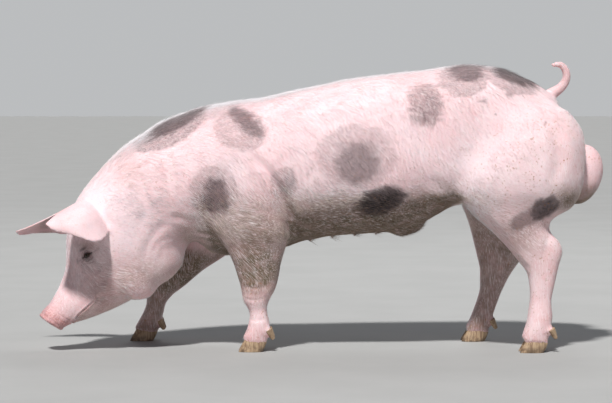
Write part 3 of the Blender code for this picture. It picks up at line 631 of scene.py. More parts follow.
cores = (
    ("left", -0.396, 0.676, 0.102, 0.026, 28, 0.66),
    ("left", -0.183, 0.68, 0.068, 0.024, -40, 0.62),
    ("left", -0.268, 0.464, 0.042, 0.056, 0, 0.66),
    ("left", -0.06, 0.5, 0.022, 0.03, -30, 0.35),
    ("left", 0.146, 0.56, 0.066, 0.064, 0, 0.54),
    ("left", 0.213, 0.448, 0.072, 0.04, 22, 1.0),
    ("left", 0.354, 0.716, 0.026, 0.044, -15, 0.26),
    ("left", 0.466, 0.826, 0.052, 0.03, 0, 0.66),
    ("both", 0.606, 0.82, 0.08, 0.028, -18, 0.8),
    ("left", 0.588, 0.757, 0.011, 0.011, 0, 0.5),
    ("left", 0.51, 0.737, 0.007, 0.007, 0, 0.6),
    ("left", 0.519, 0.745, 0.005, 0.006, 0, 0.6),
    ("left", 0.548, 0.699, 0.005, 0.005, 0, 0.6),
    ("left", 0.694, 0.675, 0.006, 0.006, 0, 0.6),
    ("left", 0.65, 0.405, 0.072, 0.026, 28, 0.56),
    ("left", 0.69, 0.428, 0.044, 0.03, 30, 0.95),
    ("right", -0.34, 0.575, 0.048, 0.034, 30, 0.65),
    ("right", -0.105, 0.64, 0.044, 0.038, 0, 0.6),
    ("right", 0.09, 0.505, 0.044, 0.036, 15, 0.9),
    ("right", 0.285, 0.715, 0.058, 0.04, -10, 0.65),
    ("right", 0.54, 0.745, 0.036, 0.028, 0, 0.55),
    ("right", 0.64, 0.51, 0.034, 0.044, 10, 0.65),
    ("right", 0.02, 0.4, 0.03, 0.018, 10, 0.7),
)


def marked(points, spots, blur, ragged):
    # how far inside the nearest spot each point lies, from 0 to 1, and that spot's tone
    share, tone = np.zeros(len(points)), np.zeros(len(points))
    side = sideOf(points)
    wobble = noiseAt(points / 0.022 + 3)
    wobble += 0.6 * noiseAt(points / 0.009 + 5)  # large and small raggedness of the edge
    for on, x, z, length, width, slant, strength in spots:
        slant = math.radians(slant)
        dx, dz = points[:, 0] - x, points[:, 2] - z
        along = (dx * math.cos(slant) + dz * math.sin(slant)) / length
        across = (dz * math.cos(slant) - dx * math.sin(slant)) / width
        edge = 1 - np.hypot(along, across) + ragged * wobble
        there = 1.0 if on == "both" else ridgeUp(side * sides[on], -0.01, 0.02)
        amount = ridgeUp(edge, -blur, blur) * there
        tone = np.where(amount * strength > share * tone, strength, tone)
        share = np.maximum(share, amount)
    return share, tone


haloShare, haloTone = marked(skinPoints, halos, 0.07, 0.1)
haloShare *= 1 - soft["ear"]
coreShare, coreTone = marked(skinPoints, cores, 0.24, 0.22)


# the lie of the coat: place (x, z) and direction (x, z) of the hair there
lie = (
    (-0.745, 0.15, 0.1, 1.0), (-0.72, 0.25, 0.0, 1.0), (-0.7, 0.34, 0.2, 1.0),
    (-0.66, 0.42, 0.5, 0.87), (-0.66, 0.2, 0.45, 0.9), (-0.6, 0.26, 0.8, 0.5),
    (-0.64, 0.12, 0.85, 0.5), (-0.56, 0.18, 0.97, -0.2), (-0.6, 0.53, 0.8, 0.6),
    (-0.5, 0.64, 0.92, 0.38), (-0.38, 0.7, 0.98, 0.1), (-0.2, 0.74, 0.98, -0.15),
    (0.1, 0.8, 0.96, -0.25), (0.35, 0.835, 0.96, -0.25), (0.55, 0.84, 0.92, -0.38),
    (0.68, 0.79, 0.6, -0.8), (-0.54, 0.44, 0.95, -0.2), (-0.487, 0.524, 0.94, -0.33),
    (-0.4, 0.58, 0.97, -0.22), (-0.312, 0.626, 0.92, -0.39), (-0.225, 0.626, 0.86, -0.51),
    (-0.137, 0.6, 0.76, -0.65), (-0.021, 0.66, 0.7, -0.71), (0.1, 0.69, 0.68, -0.73),
    (0.24, 0.69, 0.56, -0.83), (0.387, 0.655, 0.42, -0.91), (0.04, 0.568, 0.72, -0.7),
    (0.242, 0.56, 0.52, -0.85), (-0.02, 0.48, 0.76, -0.65), (0.06, 0.45, 0.92, -0.38),
    (0.16, 0.4, 0.97, -0.22), (0.3, 0.42, 0.93, -0.36), (-0.341, 0.48, 0.82, -0.58),
    (-0.283, 0.43, 0.78, -0.63), (-0.195, 0.51, 0.64, -0.77), (-0.13, 0.48, 0.7, -0.71),
    (-0.18, 0.4, 0.95, -0.3), (-0.15, 0.345, 0.88, -0.48), (-0.42, 0.3, 0.98, -0.18),
    (-0.47, 0.21, 0.97, -0.05), (0.475, 0.713, 0.62, -0.78), (0.58, 0.7, 0.5, -0.87),
    (0.562, 0.568, 0.78, -0.62), (0.446, 0.509, 0.72, -0.69), (0.475, 0.44, 0.88, -0.47),
    (0.56, 0.43, 0.9, -0.43), (0.65, 0.46, 0.86, -0.51), (0.737, 0.62, 0.38, -0.93),
    (0.79, 0.56, 0.15, -0.99), (0.504, 0.335, 0.3, -0.95), (0.65, 0.335, 0.55, -0.83),
    (0.7, 0.2, 0.05, -1.0), (0.56, 0.2, -0.1, -1.0), (0.52, 0.08, -0.1, -1.0),
    (-0.17, 0.26, 0.58, -0.81), (-0.15, 0.15, 0.02, -1.0), (-0.33, 0.29, -0.4, -0.92),
    (-0.43, 0.2, -0.35, -0.94), (-0.47, 0.1, -0.05, -1.0),
)


def lieAt(points):
    anchors = np.array(lie)
    shadedGaps = (points[:, None, 0] - anchors[None, :, 0]) ** 2 + (points[:, None, 2] - anchors[None, :, 1]) ** 2
    weights = 1 / (shadedGaps + 0.0008) ** 2  # the small share keeps an anchor from ruling alone
    return unit(weights @ anchors[:, 2:] / weights.sum(axis=1)[:, None])


# patches of each tint: strength, middle (x, z), radii, and the side where it isn't on both
patches = {
    "rosy": ((0.45, 0.272, 0.356, 0.036, 0.016),),
    # painted light: these patches lighten the skin on the cheek and jowl, the shoulder, the middle of the
    # flank and the lower ham, where shade falls
    "paintedLight": ((1, -0.555, 0.39, 0.11, 0.13), (0.6, -0.28, 0.54, 0.16, 0.12), (0.7, 0.2, 0.6, 0.34, 0.13),
             (0.8, 0.58, 0.52, 0.2, 0.13)),
    # some brown patches are painted shade: the far foreleg's and the larger one under the scrotum, each with
    # some dirt, and the smaller one under the scrotum and the one behind the left mouth corner
    "brown": ((0.85, -0.15, 0.262, 0.12, 0.075, "left"), (0.42, -0.15, 0.36, 0.11, 0.055, "left"),
              (0.22, -0.4, 0.21, 0.1, 0.08, "right"), (0.3, 0.63, 0.33, 0.06, 0.06),
              (0.45, -0.47, 0.23, 0.12, 0.05), (0.2, -0.52, 0.525, 0.05, 0.05, "left"),
              (0.55, -0.158, 0.216, 0.08, 0.034, "left"), (0.9, 0.762, 0.45, 0.04, 0.034),
              (0.38, -0.612, 0.18, 0.04, 0.034, "left"), (0.5, 0.835, 0.47, 0.03, 0.026)),
    "dirt": ((0.8, 0.7, 0.56, 0.14, 0.14), (0.5, 0.7, 0.24, 0.08, 0.1), (0.7, 0.46, 0.42, 0.07, 0.06),
             (0.4, -0.42, 0.52, 0.06, 0.06), (0.6, -0.15, 0.14, 0.07, 0.07), (0.3, 0.3, 0.5, 0.25, 0.1)),
    "coarse": ((1, -0.29, 0.435, 0.09, 0.085), (1, -0.13, 0.37, 0.12, 0.085), (1, 0.08, 0.44, 0.24, 0.06),
               (1, 0.47, 0.45, 0.09, 0.08), (1, 0.63, 0.38, 0.1, 0.06), (1, -0.53, 0.215, 0.07, 0.05)),
}


def discDistance(straight):
    return (straight - np.array(muzzle["disc"])) @ np.array(muzzle["facing"])


def patched(points, tint):
    across, total = points[:, 1] - headPivot[1], 0
    for strength, x, z, rx, rz, *on in patches[tint]:
        there = ridgeUp(across * sides[on[0]], 0.0, 0.03) if on else 1
        total = total + strength * patch(points, x, z, rx, rz) * there
    return total


def layersOf(points, normals, soft, lid):
    straight, height = intoHead(points), points[:, 2]
    along = lieAt(points)
    lean = np.degrees(np.arctan2(np.abs(along[:, 1]), np.abs(along[:, 0])))
    disc = discDistance(straight)
    rosy = 0.18 * soft["ear"] + 0.3 * soft["scrotum"] + 0.5 * soft["tail"] + patched(points, "rosy")
    snout = 0.45 * ridgeUp(disc, -0.11, -0.05) + 0.55 * ridgeUp(disc, -0.056, -0.024)
    rosy += snout * (straight[:, 0] < muzzle["end"])
    mouth = alongPath(straight[:, ::2], detail["mouth"])[0]
    rosy = np.maximum(rosy, 0.5 * bell(mouth, 0.006) * (straight[:, 0] < detail["mouthEnd"]))
    rosy += 0.3 * ridgeDown(normals[:, 2], -0.8, -0.2) * soft["trunk"] + 0.45 * bell(height - 0.03, 0.03)
    # painted shade with some dirt: skin that faces downwards turns brown
    undersideShade = ridgeDown(normals[:, 2], -0.88, -0.22)
    brown = patched(points, "brown") + 0.13 * soft["leg"]
    brown += 0.62 * patch(straight, -0.676, 0.316, 0.026, 0.012)  # above the eyes
    brown += 0.45 * soft["lower"] * ridgeDown(straight[:, 2], 0.1, 0.22)
    brown += (0.95 * soft["trunk"] + 0.55 * soft["neck"] + 0.75 * soft["scrotum"]) * undersideShade
    # browner towards the bottom of the trunk, partly dirt and partly painted shade
    brown += 0.27 * soft["trunk"] * ridgeDown(height, 0.42, 0.52)
    # painted shade with some dirt: the far legs' inner faces, which the body shades, turn brown
    farLegShade = ridgeUp(points[:, 1] - headPivot[1], 0.0, 0.03) * ridgeDown(normals[:, 1], -0.6, -0.1)
    brown += 0.6 * soft["leg"] * farLegShade * ridgeDown(height, 0.36, 0.46)
    earTip = bell(straight[:, 0] + 0.77, 0.026) * (straight[:, 1] > 0)
    brown += 0.5 * soft["ear"] * ridgeDown(normals[:, 2], -0.45, -0.05) * earTip
    dirt = 0.22 + patched(points, "dirt") + 0.5 * ridgeDown(height, 0.03, 0.14)
    haired = 1 - soft["snout"] - 0.6 * soft["ear"] - 0.8 * soft["scrotum"] - soft["eye"]
    layers = {
        "halo": haloShare * haloTone, "core": coreShare * coreTone, "rosy": rosy, "brown": brown,
        "dirt": dirt, "lid": lid, "haired": haired,
        # painted light on the lighter patches
        "paintedLight": patched(points, "paintedLight"), "coarse": patched(points, "coarse"),
        "steep": ridgeUp(lean, 50, 80), "level": ridgeDown(lean, 22, 44),
    }
    return {name: np.clip(values, 0, 1) for name, values in layers.items()}


layers = layersOf(skinPoints, skinNormals, soft, lid)
for name, values in layers.items():
    addLayer(flesh.data, name, values)
print("markings laid on the skin")


# materials
def newMaterial(name, roughness, sheen=0.0, coat=0.0, subsurface=0.0):
    made = bpy.data.materials.new(name)
    made.use_nodes = True
    shader = made.node_tree.nodes["Principled BSDF"]
    shader.inputs["Roughness"].default_value = roughness
    shader.inputs["Sheen Weight"].default_value = sheen
    shader.inputs["Coat Weight"].default_value = coat
    shader.inputs["Subsurface Weight"].default_value = subsurface
    shader.inputs["Subsurface Radius"].default_value = (1.0, 0.35, 0.22)
    shader.inputs["Subsurface Scale"].default_value = 0.006
    return made, made.node_tree, shader


def addNode(tree, kind, **values):
    node = tree.nodes.new(kind)
    for name, value in values.items():
        if hasattr(node, name):
            setattr(node, name, value)
        else:
            node.inputs[name.replace("_", " ")].default_value = value
    return node


def feed(tree, socket, value):
    if isinstance(value, bpy.types.NodeSocket):
        tree.links.new(value, socket)
    else:
        socket.default_value = value


def layerOf(tree, name):
    return addNode(tree, "ShaderNodeAttribute", attribute_name=name).outputs["Fac"]


def objectPlace(tree):
    return addNode(tree, "ShaderNodeTexCoord").outputs["Object"]


def mixed(tree, share, first, second):
    node = addNode(tree, "ShaderNodeMix", data_type="RGBA")
    for number, value in ((0, share), (6, first), (7, second)):
        feed(tree, node.inputs[number], value)
    return node.outputs[2]


def computed(tree, operation, *values):
    node = addNode(tree, "ShaderNodeMath", operation=operation)
    for socket, value in zip(node.inputs, values):
        feed(tree, socket, value)
    return node.outputs[0]


def product(tree, first, *others):
    for other in others:
        first = computed(tree, "MULTIPLY", first, other)
    return first


def grained(tree, scale, detailLevel=3.0, rough=0.55):
    node = addNode(tree, "ShaderNodeTexNoise", Scale=scale, Detail=detailLevel, Roughness=rough)
    tree.links.new(objectPlace(tree), node.inputs["Vector"])
    return node.outputs["Fac"]


def spread(tree, value, low, high, least=0.0, most=1.0):
    node = addNode(tree, "ShaderNodeMapRange", interpolation_type="SMOOTHSTEP")
    for socket, number in zip(node.inputs[1:5], (low, high, least, most)):
        socket.default_value = number
    tree.links.new(value, node.inputs[0])
    return node.outputs[0]


def bumped(tree, shader, *heights):
    normal = None
    for value, strength, distance in heights:
        node = addNode(tree, "ShaderNodeBump", Strength=strength, Distance=distance)
        tree.links.new(value, node.inputs["Height"])
        if normal:
            tree.links.new(normal, node.inputs["Normal"])
        normal = node.outputs[0]
    tree.links.new(normal, shader.inputs["Normal"])


def streaked(tree, degrees, long=30.0, fine=420.0):
    # noise drawn out into fine strokes, at an angle in side view
    turned = addNode(tree, "ShaderNodeMapping")
    turned.inputs["Rotation"].default_value = (0, math.radians(degrees), 0)
    tree.links.new(objectPlace(tree), turned.inputs["Vector"])
    drawn = addNode(tree, "ShaderNodeMapping", Scale=(long, fine, fine))
    tree.links.new(turned.outputs[0], drawn.inputs["Vector"])
    node = addNode(tree, "ShaderNodeTexNoise", Scale=1.0, Detail=3.0, Roughness=0.6)
    tree.links.new(drawn.outputs[0], node.inputs["Vector"])
    return node.outputs["Fac"]


skinColours = {
    "pink": (0.83, 0.53, 0.545, 1), "pale": (0.88, 0.66, 0.68, 1), "flush": (0.8, 0.42, 0.43, 1),
    "paintedLight": (0.92, 0.74, 0.77, 1), "rosy": (0.52, 0.255, 0.25, 1), "halo": (0.27, 0.175, 0.18, 1),
    "core": (0.04, 0.026, 0.029, 1), "brown": (0.13, 0.092, 0.052, 1), "dirt": (0.36, 0.15, 0.05, 1),
    "lid": (0.045, 0.03, 0.028, 1), "gap": (0.3, 0.21, 0.16, 1), "hair": (0.9, 0.81, 0.82, 1),
    "darkHair": (0.08, 0.062, 0.068, 1),
}
# tints laid over each other: the grain that breaks each up, that grain's range and the least share
skinTints = {
    "rosy": ((210.0, 3.0, 0.6), (0.35, 0.6, 0.55)), "brown": ((34.0, 5.0, 0.7), (0.32, 0.6, 0.72)),
    "halo": ((90.0, 4.0, 0.65), (0.3, 0.7, 0.55)), "core": ((90.0, 4.0, 0.65), (0.3, 0.7, 0.82)),
}
# the short coat drawn on the skin: slants of its strokes in degrees, their strength, and the painted shade in
# the gaps between them
drawnCoat = {"slant": -46, "steep": -86, "level": -14, "strong": 0.48, "coarser": 0.26, "shadedGaps": 0.55}


def skinMaterial():
    made, tree, shader = newMaterial("pigSkin", 0.6, sheen=0.03, subsurface=0.1)
    shader.inputs["Specular IOR Level"].default_value = 0.38
    shade, drawn = skinColours, drawnCoat
    colour = mixed(tree, spread(tree, grained(tree, 7.0), 0.35, 0.65), shade["pink"], shade["pale"])
    colour = mixed(tree, spread(tree, grained(tree, 26.0, 4.0), 0.52, 0.75, 0, 0.5), colour, shade["flush"])
    # painted light: the skin turns lighter on those patches
    colour = mixed(tree, product(tree, layerOf(tree, "paintedLight"), 0.75), colour, shade["paintedLight"])
    # the brown tint holds dirt and also painted shade on undersides and far legs, the halo tint also the
    # painted shade on the face
    for name, (grain, limits) in skinTints.items():
        share = product(tree, layerOf(tree, name), spread(tree, grained(tree, *grain), *limits))
        colour = mixed(tree, share, colour, shade[name])
    specks = product(tree, layerOf(tree, "dirt"), spread(tree, grained(tree, 170.0, 2.0, 0.5), 0.6, 0.67),
                     spread(tree, grained(tree, 38.0, 2.0, 0.5), 0.43, 0.55))
    colour = mixed(tree, specks, colour, shade["dirt"])
    strokes = streaked(tree, drawn["slant"])
    for name in ("steep", "level"):
        strokes = mixed(tree, layerOf(tree, name), strokes, streaked(tree, drawn[name]))
    # painted shade: the gaps between the drawn strokes turn darker on the coarse patches
    shadedGaps = product(tree, layerOf(tree, "coarse"), spread(tree, strokes, 0.34, 0.5, drawn["shadedGaps"], 0.0))
    colour = mixed(tree, shadedGaps, colour, shade["gap"])
    strong = computed(tree, "MULTIPLY_ADD", layerOf(tree, "coarse"), drawn["coarser"], drawn["strong"])
    lines = product(tree, layerOf(tree, "haired"), spread(tree, strokes, 0.48, 0.66), strong)
    hair = mixed(tree, spread(tree, layerOf(tree, "core"), 0.15, 0.65), shade["hair"], shade["darkHair"])
    colour = mixed(tree, lines, colour, hair)
    # dark lid rims, and painted shade round the eyes, in their creases and inside the nostrils
    colour = mixed(tree, layerOf(tree, "lid"), colour, shade["lid"])
    tree.links.new(colour, shader.inputs["Base Color"])
    cells = addNode(tree, "ShaderNodeTexVoronoi", Scale=520.0)
    tree.links.new(objectPlace(tree), cells.inputs["Vector"])
    # pores, fine cells and the strokes themselves: strength and depth of each
    bumped(tree, shader, (grained(tree, 130.0, 5.0, 0.6), 0.3, 0.0012),
           (cells.outputs["Distance"], 0.22, 0.0008), (strokes, 0.34, 0.0012))
    return made


flesh.data.materials.clear()
flesh.data.materials.append(skinMaterial())
selectOnly(flesh)
bpy.ops.object.shade_smooth()
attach(flesh, "root")
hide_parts(*fleshNodes)
print("skin done:", len(facesOf(flesh.data)), "triangles")


# eyes: a ball in each socket, its clear front bulging a little; the gaze layer runs outwards from the pupil
eyeBall = {
    "segments": 48, "rings": 44, "bulge": 0.0007, "bulgeAngle": 26,
    "pupil": (0.004, 0.004, 0.005, 1), "iris": ((0.016, 0.009, 0.006, 1), (0.06, 0.03, 0.014, 1)),
    "rim": (0.02, 0.013, 0.01, 1), "white": ((0.26, 0.19, 0.155, 1), (0.22, 0.09, 0.07, 1)),
    "irisFrom": (0.115, 0.135), "rimFrom": (0.48, 0.54), "whiteFrom": (0.7, 0.84),
}


def eyeMaterial():
    made, tree, shader = newMaterial("eyeWet", 0.06, coat=0.35)
    shader.inputs["Coat Roughness"].default_value = 0.02
    shader.inputs["Specular IOR Level"].default_value = 0.25
    gaze = layerOf(tree, "gaze")
    iris = mixed(tree, spread(tree, grained(tree, 900.0, 3.0), 0.3, 0.7), *eyeBall["iris"])
    white = mixed(tree, spread(tree, grained(tree, 420.0, 5.0), 0.45, 0.7), *eyeBall["white"])
    colour = eyeBall["pupil"]
    for limits, nextColour in (("irisFrom", iris), ("rimFrom", eyeBall["rim"]), ("whiteFrom", white)):
        colour = mixed(tree, spread(tree, gaze, *eyeBall[limits]), colour, nextColour)
    tree.links.new(colour, shader.inputs["Base Color"])
    bumped(tree, shader, (grained(tree, 500.0, 2.0), 0.03, 0.0004))
    return made


def makeEye(side, material):
    ball, out, along = eyePlaces[sides[side]]
    radius = eyeForm["ball"]
    selectOnly(flesh)
    bpy.ops.mesh.primitive_uv_sphere_add(segments=eyeBall["segments"], ring_count=eyeBall["rings"],
                                         radius=radius, location=(0, 0, 0))
    piece = bpy.context.object
    piece.name = f"eyeball_{side}"
    points = pointsOf(piece.data)
    angle = np.degrees(np.arccos(np.clip(points[:, 2] / radius, -1, 1)))
    points *= 1 + (eyeBall["bulge"] / radius * bell(angle, eyeBall["bulgeAngle"]))[:, None]
    setPoints(piece.data, outOfHead(ball + points @ np.array((along, np.cross(out, along), out))))
    addLayer(piece.data, "gaze", angle / 90)
    bpy.ops.object.shade_smooth()
    piece.data.materials.append(material)
    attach(piece, "root")
    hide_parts(f"eye_{side}")


wet = eyeMaterial()
for side in sides:
    makeEye(side, wet)
print("eyes set in their sockets")

# hooves and dewclaws: the solids' own shapes with a rounded toe, a worn rim and growth rings
horn = {
    "inset": 0.0045, "dewclawInset": 0.0015, "edge": 0.0016, "sharp": 50,
    "ring": 0.0003, "ringPitch": 0.0052,
    "ringWobble": 0.0012, "sole": 0.0012, "levels": 2,
    "pale": (0.46, 0.33, 0.21, 1), "dark": (0.24, 0.15, 0.09, 1), "soil": (0.1, 0.065, 0.04, 1),
    "soilHeight": 0.03, "soilShare": 0.9,
}


def hornMaterial():
    made, tree, shader = newMaterial("hoofHorn", 0.42, coat=0.08)
    place = objectPlace(tree)
    stretch = addNode(tree, "ShaderNodeMapping", Scale=(260.0, 260.0, 22.0))
    tree.links.new(place, stretch.inputs["Vector"])
    streaks = addNode(tree, "ShaderNodeTexNoise", Scale=1.0, Detail=4.0)
    tree.links.new(stretch.outputs[0], streaks.inputs["Vector"])
    colour = mixed(tree, spread(tree, streaks.outputs["Fac"], 0.35, 0.68), horn["pale"], horn["dark"])
    height = addNode(tree, "ShaderNodeSeparateXYZ")
    tree.links.new(place, height.inputs[0])
    soiled = product(tree, spread(tree, height.outputs[2], horn["soilHeight"], 0.0, 0.0, horn["soilShare"]),
                     spread(tree, grained(tree, 60.0, 4.0), 0.35, 0.65))
    tree.links.new(mixed(tree, soiled, colour, horn["soil"]), shader.inputs["Base Color"])
    bumped(tree, shader, (streaks.outputs["Fac"], 0.35, 0.0006), (grained(tree, 300.0, 3.0), 0.2, 0.0004))
    return made


def makeHorn(node, material):
    hoof = node.startswith("hoof")
    piece = mergedCopy(node, node.replace("hoof", "claw") if hoof else node + "_horn")
    mesh = piece.data
    with editMode():
        bpy.ops.mesh.select_mode(type="FACE")
        bpy.ops.mesh.select_all(action="SELECT")
        bpy.ops.mesh.dissolve_limited(angle_limit=math.radians(1))
    faceSelection(mesh, np.array([len(face.vertices) > 8 for face in mesh.polygons]))  # the flat ends
    with editMode():
        bpy.ops.mesh.inset(thickness=horn["inset" if hoof else "dewclawInset"])
    edge = piece.modifiers.new("edge", "BEVEL")
    edge.width, edge.segments, edge.limit_method = horn["edge"], 2, "ANGLE"
    edge.angle_limit = math.radians(horn["sharp"])
    finer = piece.modifiers.new("finer", "SUBSURF")
    finer.levels = finer.render_levels = horn["levels"]
    applyAll(piece)
    points, normals = pointsOf(mesh), normalsOf(mesh)
    height = points[:, 2] + horn["ringWobble"] * np.sin(points[:, 0] * 180)
    wave = np.sin(2 * np.pi * height / horn["ringPitch"])
    points += (horn["ring"] * wave * (np.abs(normals[:, 2]) < 0.7))[:, None] * normals
    if hoof:
        points[:, 2] = np.where(points[:, 2] < horn["sole"], 0.0, points[:, 2])
    setPoints(mesh, points)
    bpy.ops.object.shade_smooth()
    mesh.materials.clear()
    mesh.materials.append(material)
    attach(piece, "root")
    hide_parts(node)


hornFinish = hornMaterial()
for node in (*clawNodes, *dewclawNodes):
    makeHorn(node, hornFinish)
print("hooves and dewclaws finished")

# the coat by the flesh that it grows on: tufts per square metre, hair length, lift at the tip over length
coat = {
    "trunk": (13500, 0.026, 0.08), "neck": (13500, 0.026, 0.085), "head": (18000, 0.0115, 0.14),
    "lower": (16000, 0.013, 0.2), "snout": (5000, 0.004, 0.22), "ear": (16000, 0.008, 0.12),
    "tail": (20000, 0.008, 0.1), "scrotum": (6000, 0.0075, 0.1), "leg": (14000, 0.017, 0.09),
    "eye": (9000, 0.006, 0.25), "horn": (0, 0.008, 0.2),
}
# where hair lies along the tail (x, z), and down the ear from root to tip in the straight head
tailLine = ((0.703, 0.74), (0.727, 0.757), (0.751, 0.771), (0.771, 0.792), (0.777, 0.818), (0.766, 0.841),
            (0.747, 0.848), (0.73, 0.843))
earDown = (-0.17, 0.085, -0.05)
# tufts that stand out more: the mane along the spine, then patches (x, z), radii, length, lift
fringe = {
    "length": 0.037, "lift": 0.24, "density": 1.7, "frost": 0.72, "halfWidth": (0.02, 0.12),
    "heights": (0.5, 0.62), "rearEnd": (0.56, 0.68),
}
bristles = (
    (-0.286, 0.405, 0.06, 0.05, 0.03, 0.22), (-0.145, 0.352, 0.09, 0.025, 0.028, 0.24),
    (-0.548, 0.2, 0.034, 0.034, 0.025, 0.28), (-0.15, 0.17, 0.04, 0.04, 0.018, 0.34),
    (0.2, 0.35, 0.24, 0.03, 0.02, 0.1), (0.475, 0.44, 0.06, 0.06, 0.028, 0.2),
    (-0.06, 0.47, 0.03, 0.06, 0.03, 0.22), (0.08, 0.452, 0.15, 0.032, 0.029, 0.12),
)
tuft = {
    "blades": 3, "length": 0.02, "radius": 0.00023, "middle": 0.55, "thicker": 1.6, "droop": 0.3,
    "apart": (-0.0027, 0.0003, 0.0029), "astray": (-0.05, 0.01, 0.06), "reach": (0.86, 1.0, 0.92),
    "stagger": (-0.22, 0.16, -0.04), "rooted": 0.0006, "chartSize": 0.003,
}
growth = {
    "quickShare": 0.25, "tuftsInPiece": 6400, "bareDisc": (-0.012, -0.004), "bareLids": (0.35, 0.7),
    "shortLeg": 0.42, "legHeights": (0.16, 0.42), "bristleShare": 0.7, "swirl": 0.08, "swirlSize": 0.06,
    "stray": 0.06, "width": (0.45, 1.3), "bristleWider": 0.35, "paleBelow": (0.44, 0.54), "brownTint": 0.92,
    # where pieces of the coat part: height of the belly, share of the mane, place in x behind the forelegs
    "bellyTop": 0.44, "backFrom": 0.4, "hamsFrom": 0.2,
}
random = np.random.default_rng(11)


def modelTuft():
    # fine blades side by side, each bisected once so that it can bend
    pieces = []
    for _ in range(tuft["blades"]):
        selectOnly(flesh)
        bpy.ops.mesh.primitive_cone_add(vertices=3, radius1=tuft["radius"], radius2=0, depth=tuft["length"],
                                        location=(0, 0, tuft["length"] / 2))
        with editMode():
            bpy.ops.mesh.select_all(action="SELECT")
            bpy.ops.mesh.bisect(plane_co=(0, 0, tuft["length"] * tuft["middle"]), plane_no=(0, 0, 1))
        bpy.ops.object.transform_apply(location=True)
        pieces.append(bpy.context.object)
    for i, piece in enumerate(pieces):
        points = pointsOf(piece.data)
        share = points[:, 2] / tuft["length"]
        keep = np.where((share > 0.2) & (share < 0.9), tuft["thicker"], 1.0)
        blade = np.stack((share * tuft["reach"][i], points[:, 0] * keep, points[:, 1] * keep), axis=1)
        setPoints(piece.data, blade)
        addLayer(piece.data, "blade", np.full(len(points), i))
    return joinAs(pieces, "tuft")


def tuftArrays():
    model = modelTuft()
    points = pointsOf(model.data)
    blade = valuesOf(model.data.attributes["blade"].data, "value", 1, np.float32)[:, 0]
    sizes = np.array([len(face.vertices) for face in model.data.polygons])
    corners = np.array([v for face in model.data.polygons for v in face.vertices])
    bpy.data.objects.remove(model)
    return points, blade.astype(int), sizes, corners


def fieldAt(points, normals, kind):
    along, flat = lieAt(points), np.zeros(len(points))
    outward = 0.25 * np.clip(sideOf(points) / 0.06, -1, 1) * ridgeUp(normals[:, 2], 0.3, 0.9)
    field = np.stack((along[:, 0], outward, along[:, 1]), axis=1)
    tail = np.array(tailLine)
    steps = unit(np.diff(tail, axis=0))
    middles = (tail[:-1] + tail[1:]) / 2
    nearest = np.argmin([np.linalg.norm(points[:, ::2] - spot, axis=1) for spot in middles], axis=0)
    alongTail = np.stack((steps[nearest, 0], flat, steps[nearest, 1]), axis=1)
    field[kind == "tail"] = alongTail[kind == "tail"]
    straightSide = np.sign(intoHead(points)[:, 1])
    down = np.array(earDown) * np.stack((flat + 1, straightSide, flat + 1), axis=1)
    field[kind == "ear"] = (unit(down) @ turnMatrix.T)[kind == "ear"]
    return field


def unwrapTree():
    # a light copy of the skin's own shape is unwrapped; each root takes its place on that
    light = flesh.copy()
    light.data = flesh.data.copy()
    bpy.context.scene.collection.objects.link(light)
    fewer = light.modifiers.new("fewer", "DECIMATE")
    fewer.ratio = 0.06
    applyAll(light)
    with editMode():
        bpy.ops.mesh.select_all(action="SELECT")
        bpy.ops.mesh.quads_convert_to_tris()
        bpy.ops.uv.smart_project(angle_limit=math.radians(66), island_margin=0.004)
    points, faces = pointsOf(light.data), facesOf(light.data)
    chart = valuesOf(light.data.uv_layers.active.data, "uv", 2)
    chart = chart[valuesOf(light.data.loop_triangles, "loops", 3, np.int32)]
    bpy.data.objects.remove(light)
    return BVHTree.FromPolygons(points.tolist(), faces.tolist()), points[faces], chart


def placesOnChart(roots):
    tree, corners, chart = unwrapTree()
    found = [tree.find_nearest(root) for root in roots.tolist()]
    index = np.array([hit[2] for hit in found])
    spot = np.array([hit[0] for hit in found])
    a, b, c = corners[index, 0], corners[index, 1], corners[index, 2]
    whole = np.cross(b - a, c - a)
    area = np.maximum((whole * whole).sum(axis=1), 1e-18)
    second = (np.cross(spot - a, c - a) * whole).sum(axis=1) / area
    third = (np.cross(b - a, spot - a) * whole).sum(axis=1) / area
    share = np.clip(np.stack((1 - second - third, second, third), axis=1), 0, 1)
    share /= share.sum(axis=1)[:, None]
    return (chart[index] * share[:, :, None]).sum(axis=1)


def fringeAt(points, normals, body):
    side, low, high = np.abs(sideOf(points)), *fringe["halfWidth"]
    near = (1 - ridgeUp(side, low, high)) * ridgeUp(normals[:, 2], 0.45, 0.8)
    near = near * ridgeUp(points[:, 2], *fringe["heights"])
    return near * np.clip(body, 0, 1) * (1 - ridgeUp(points[:, 0], *fringe["rearEnd"]))


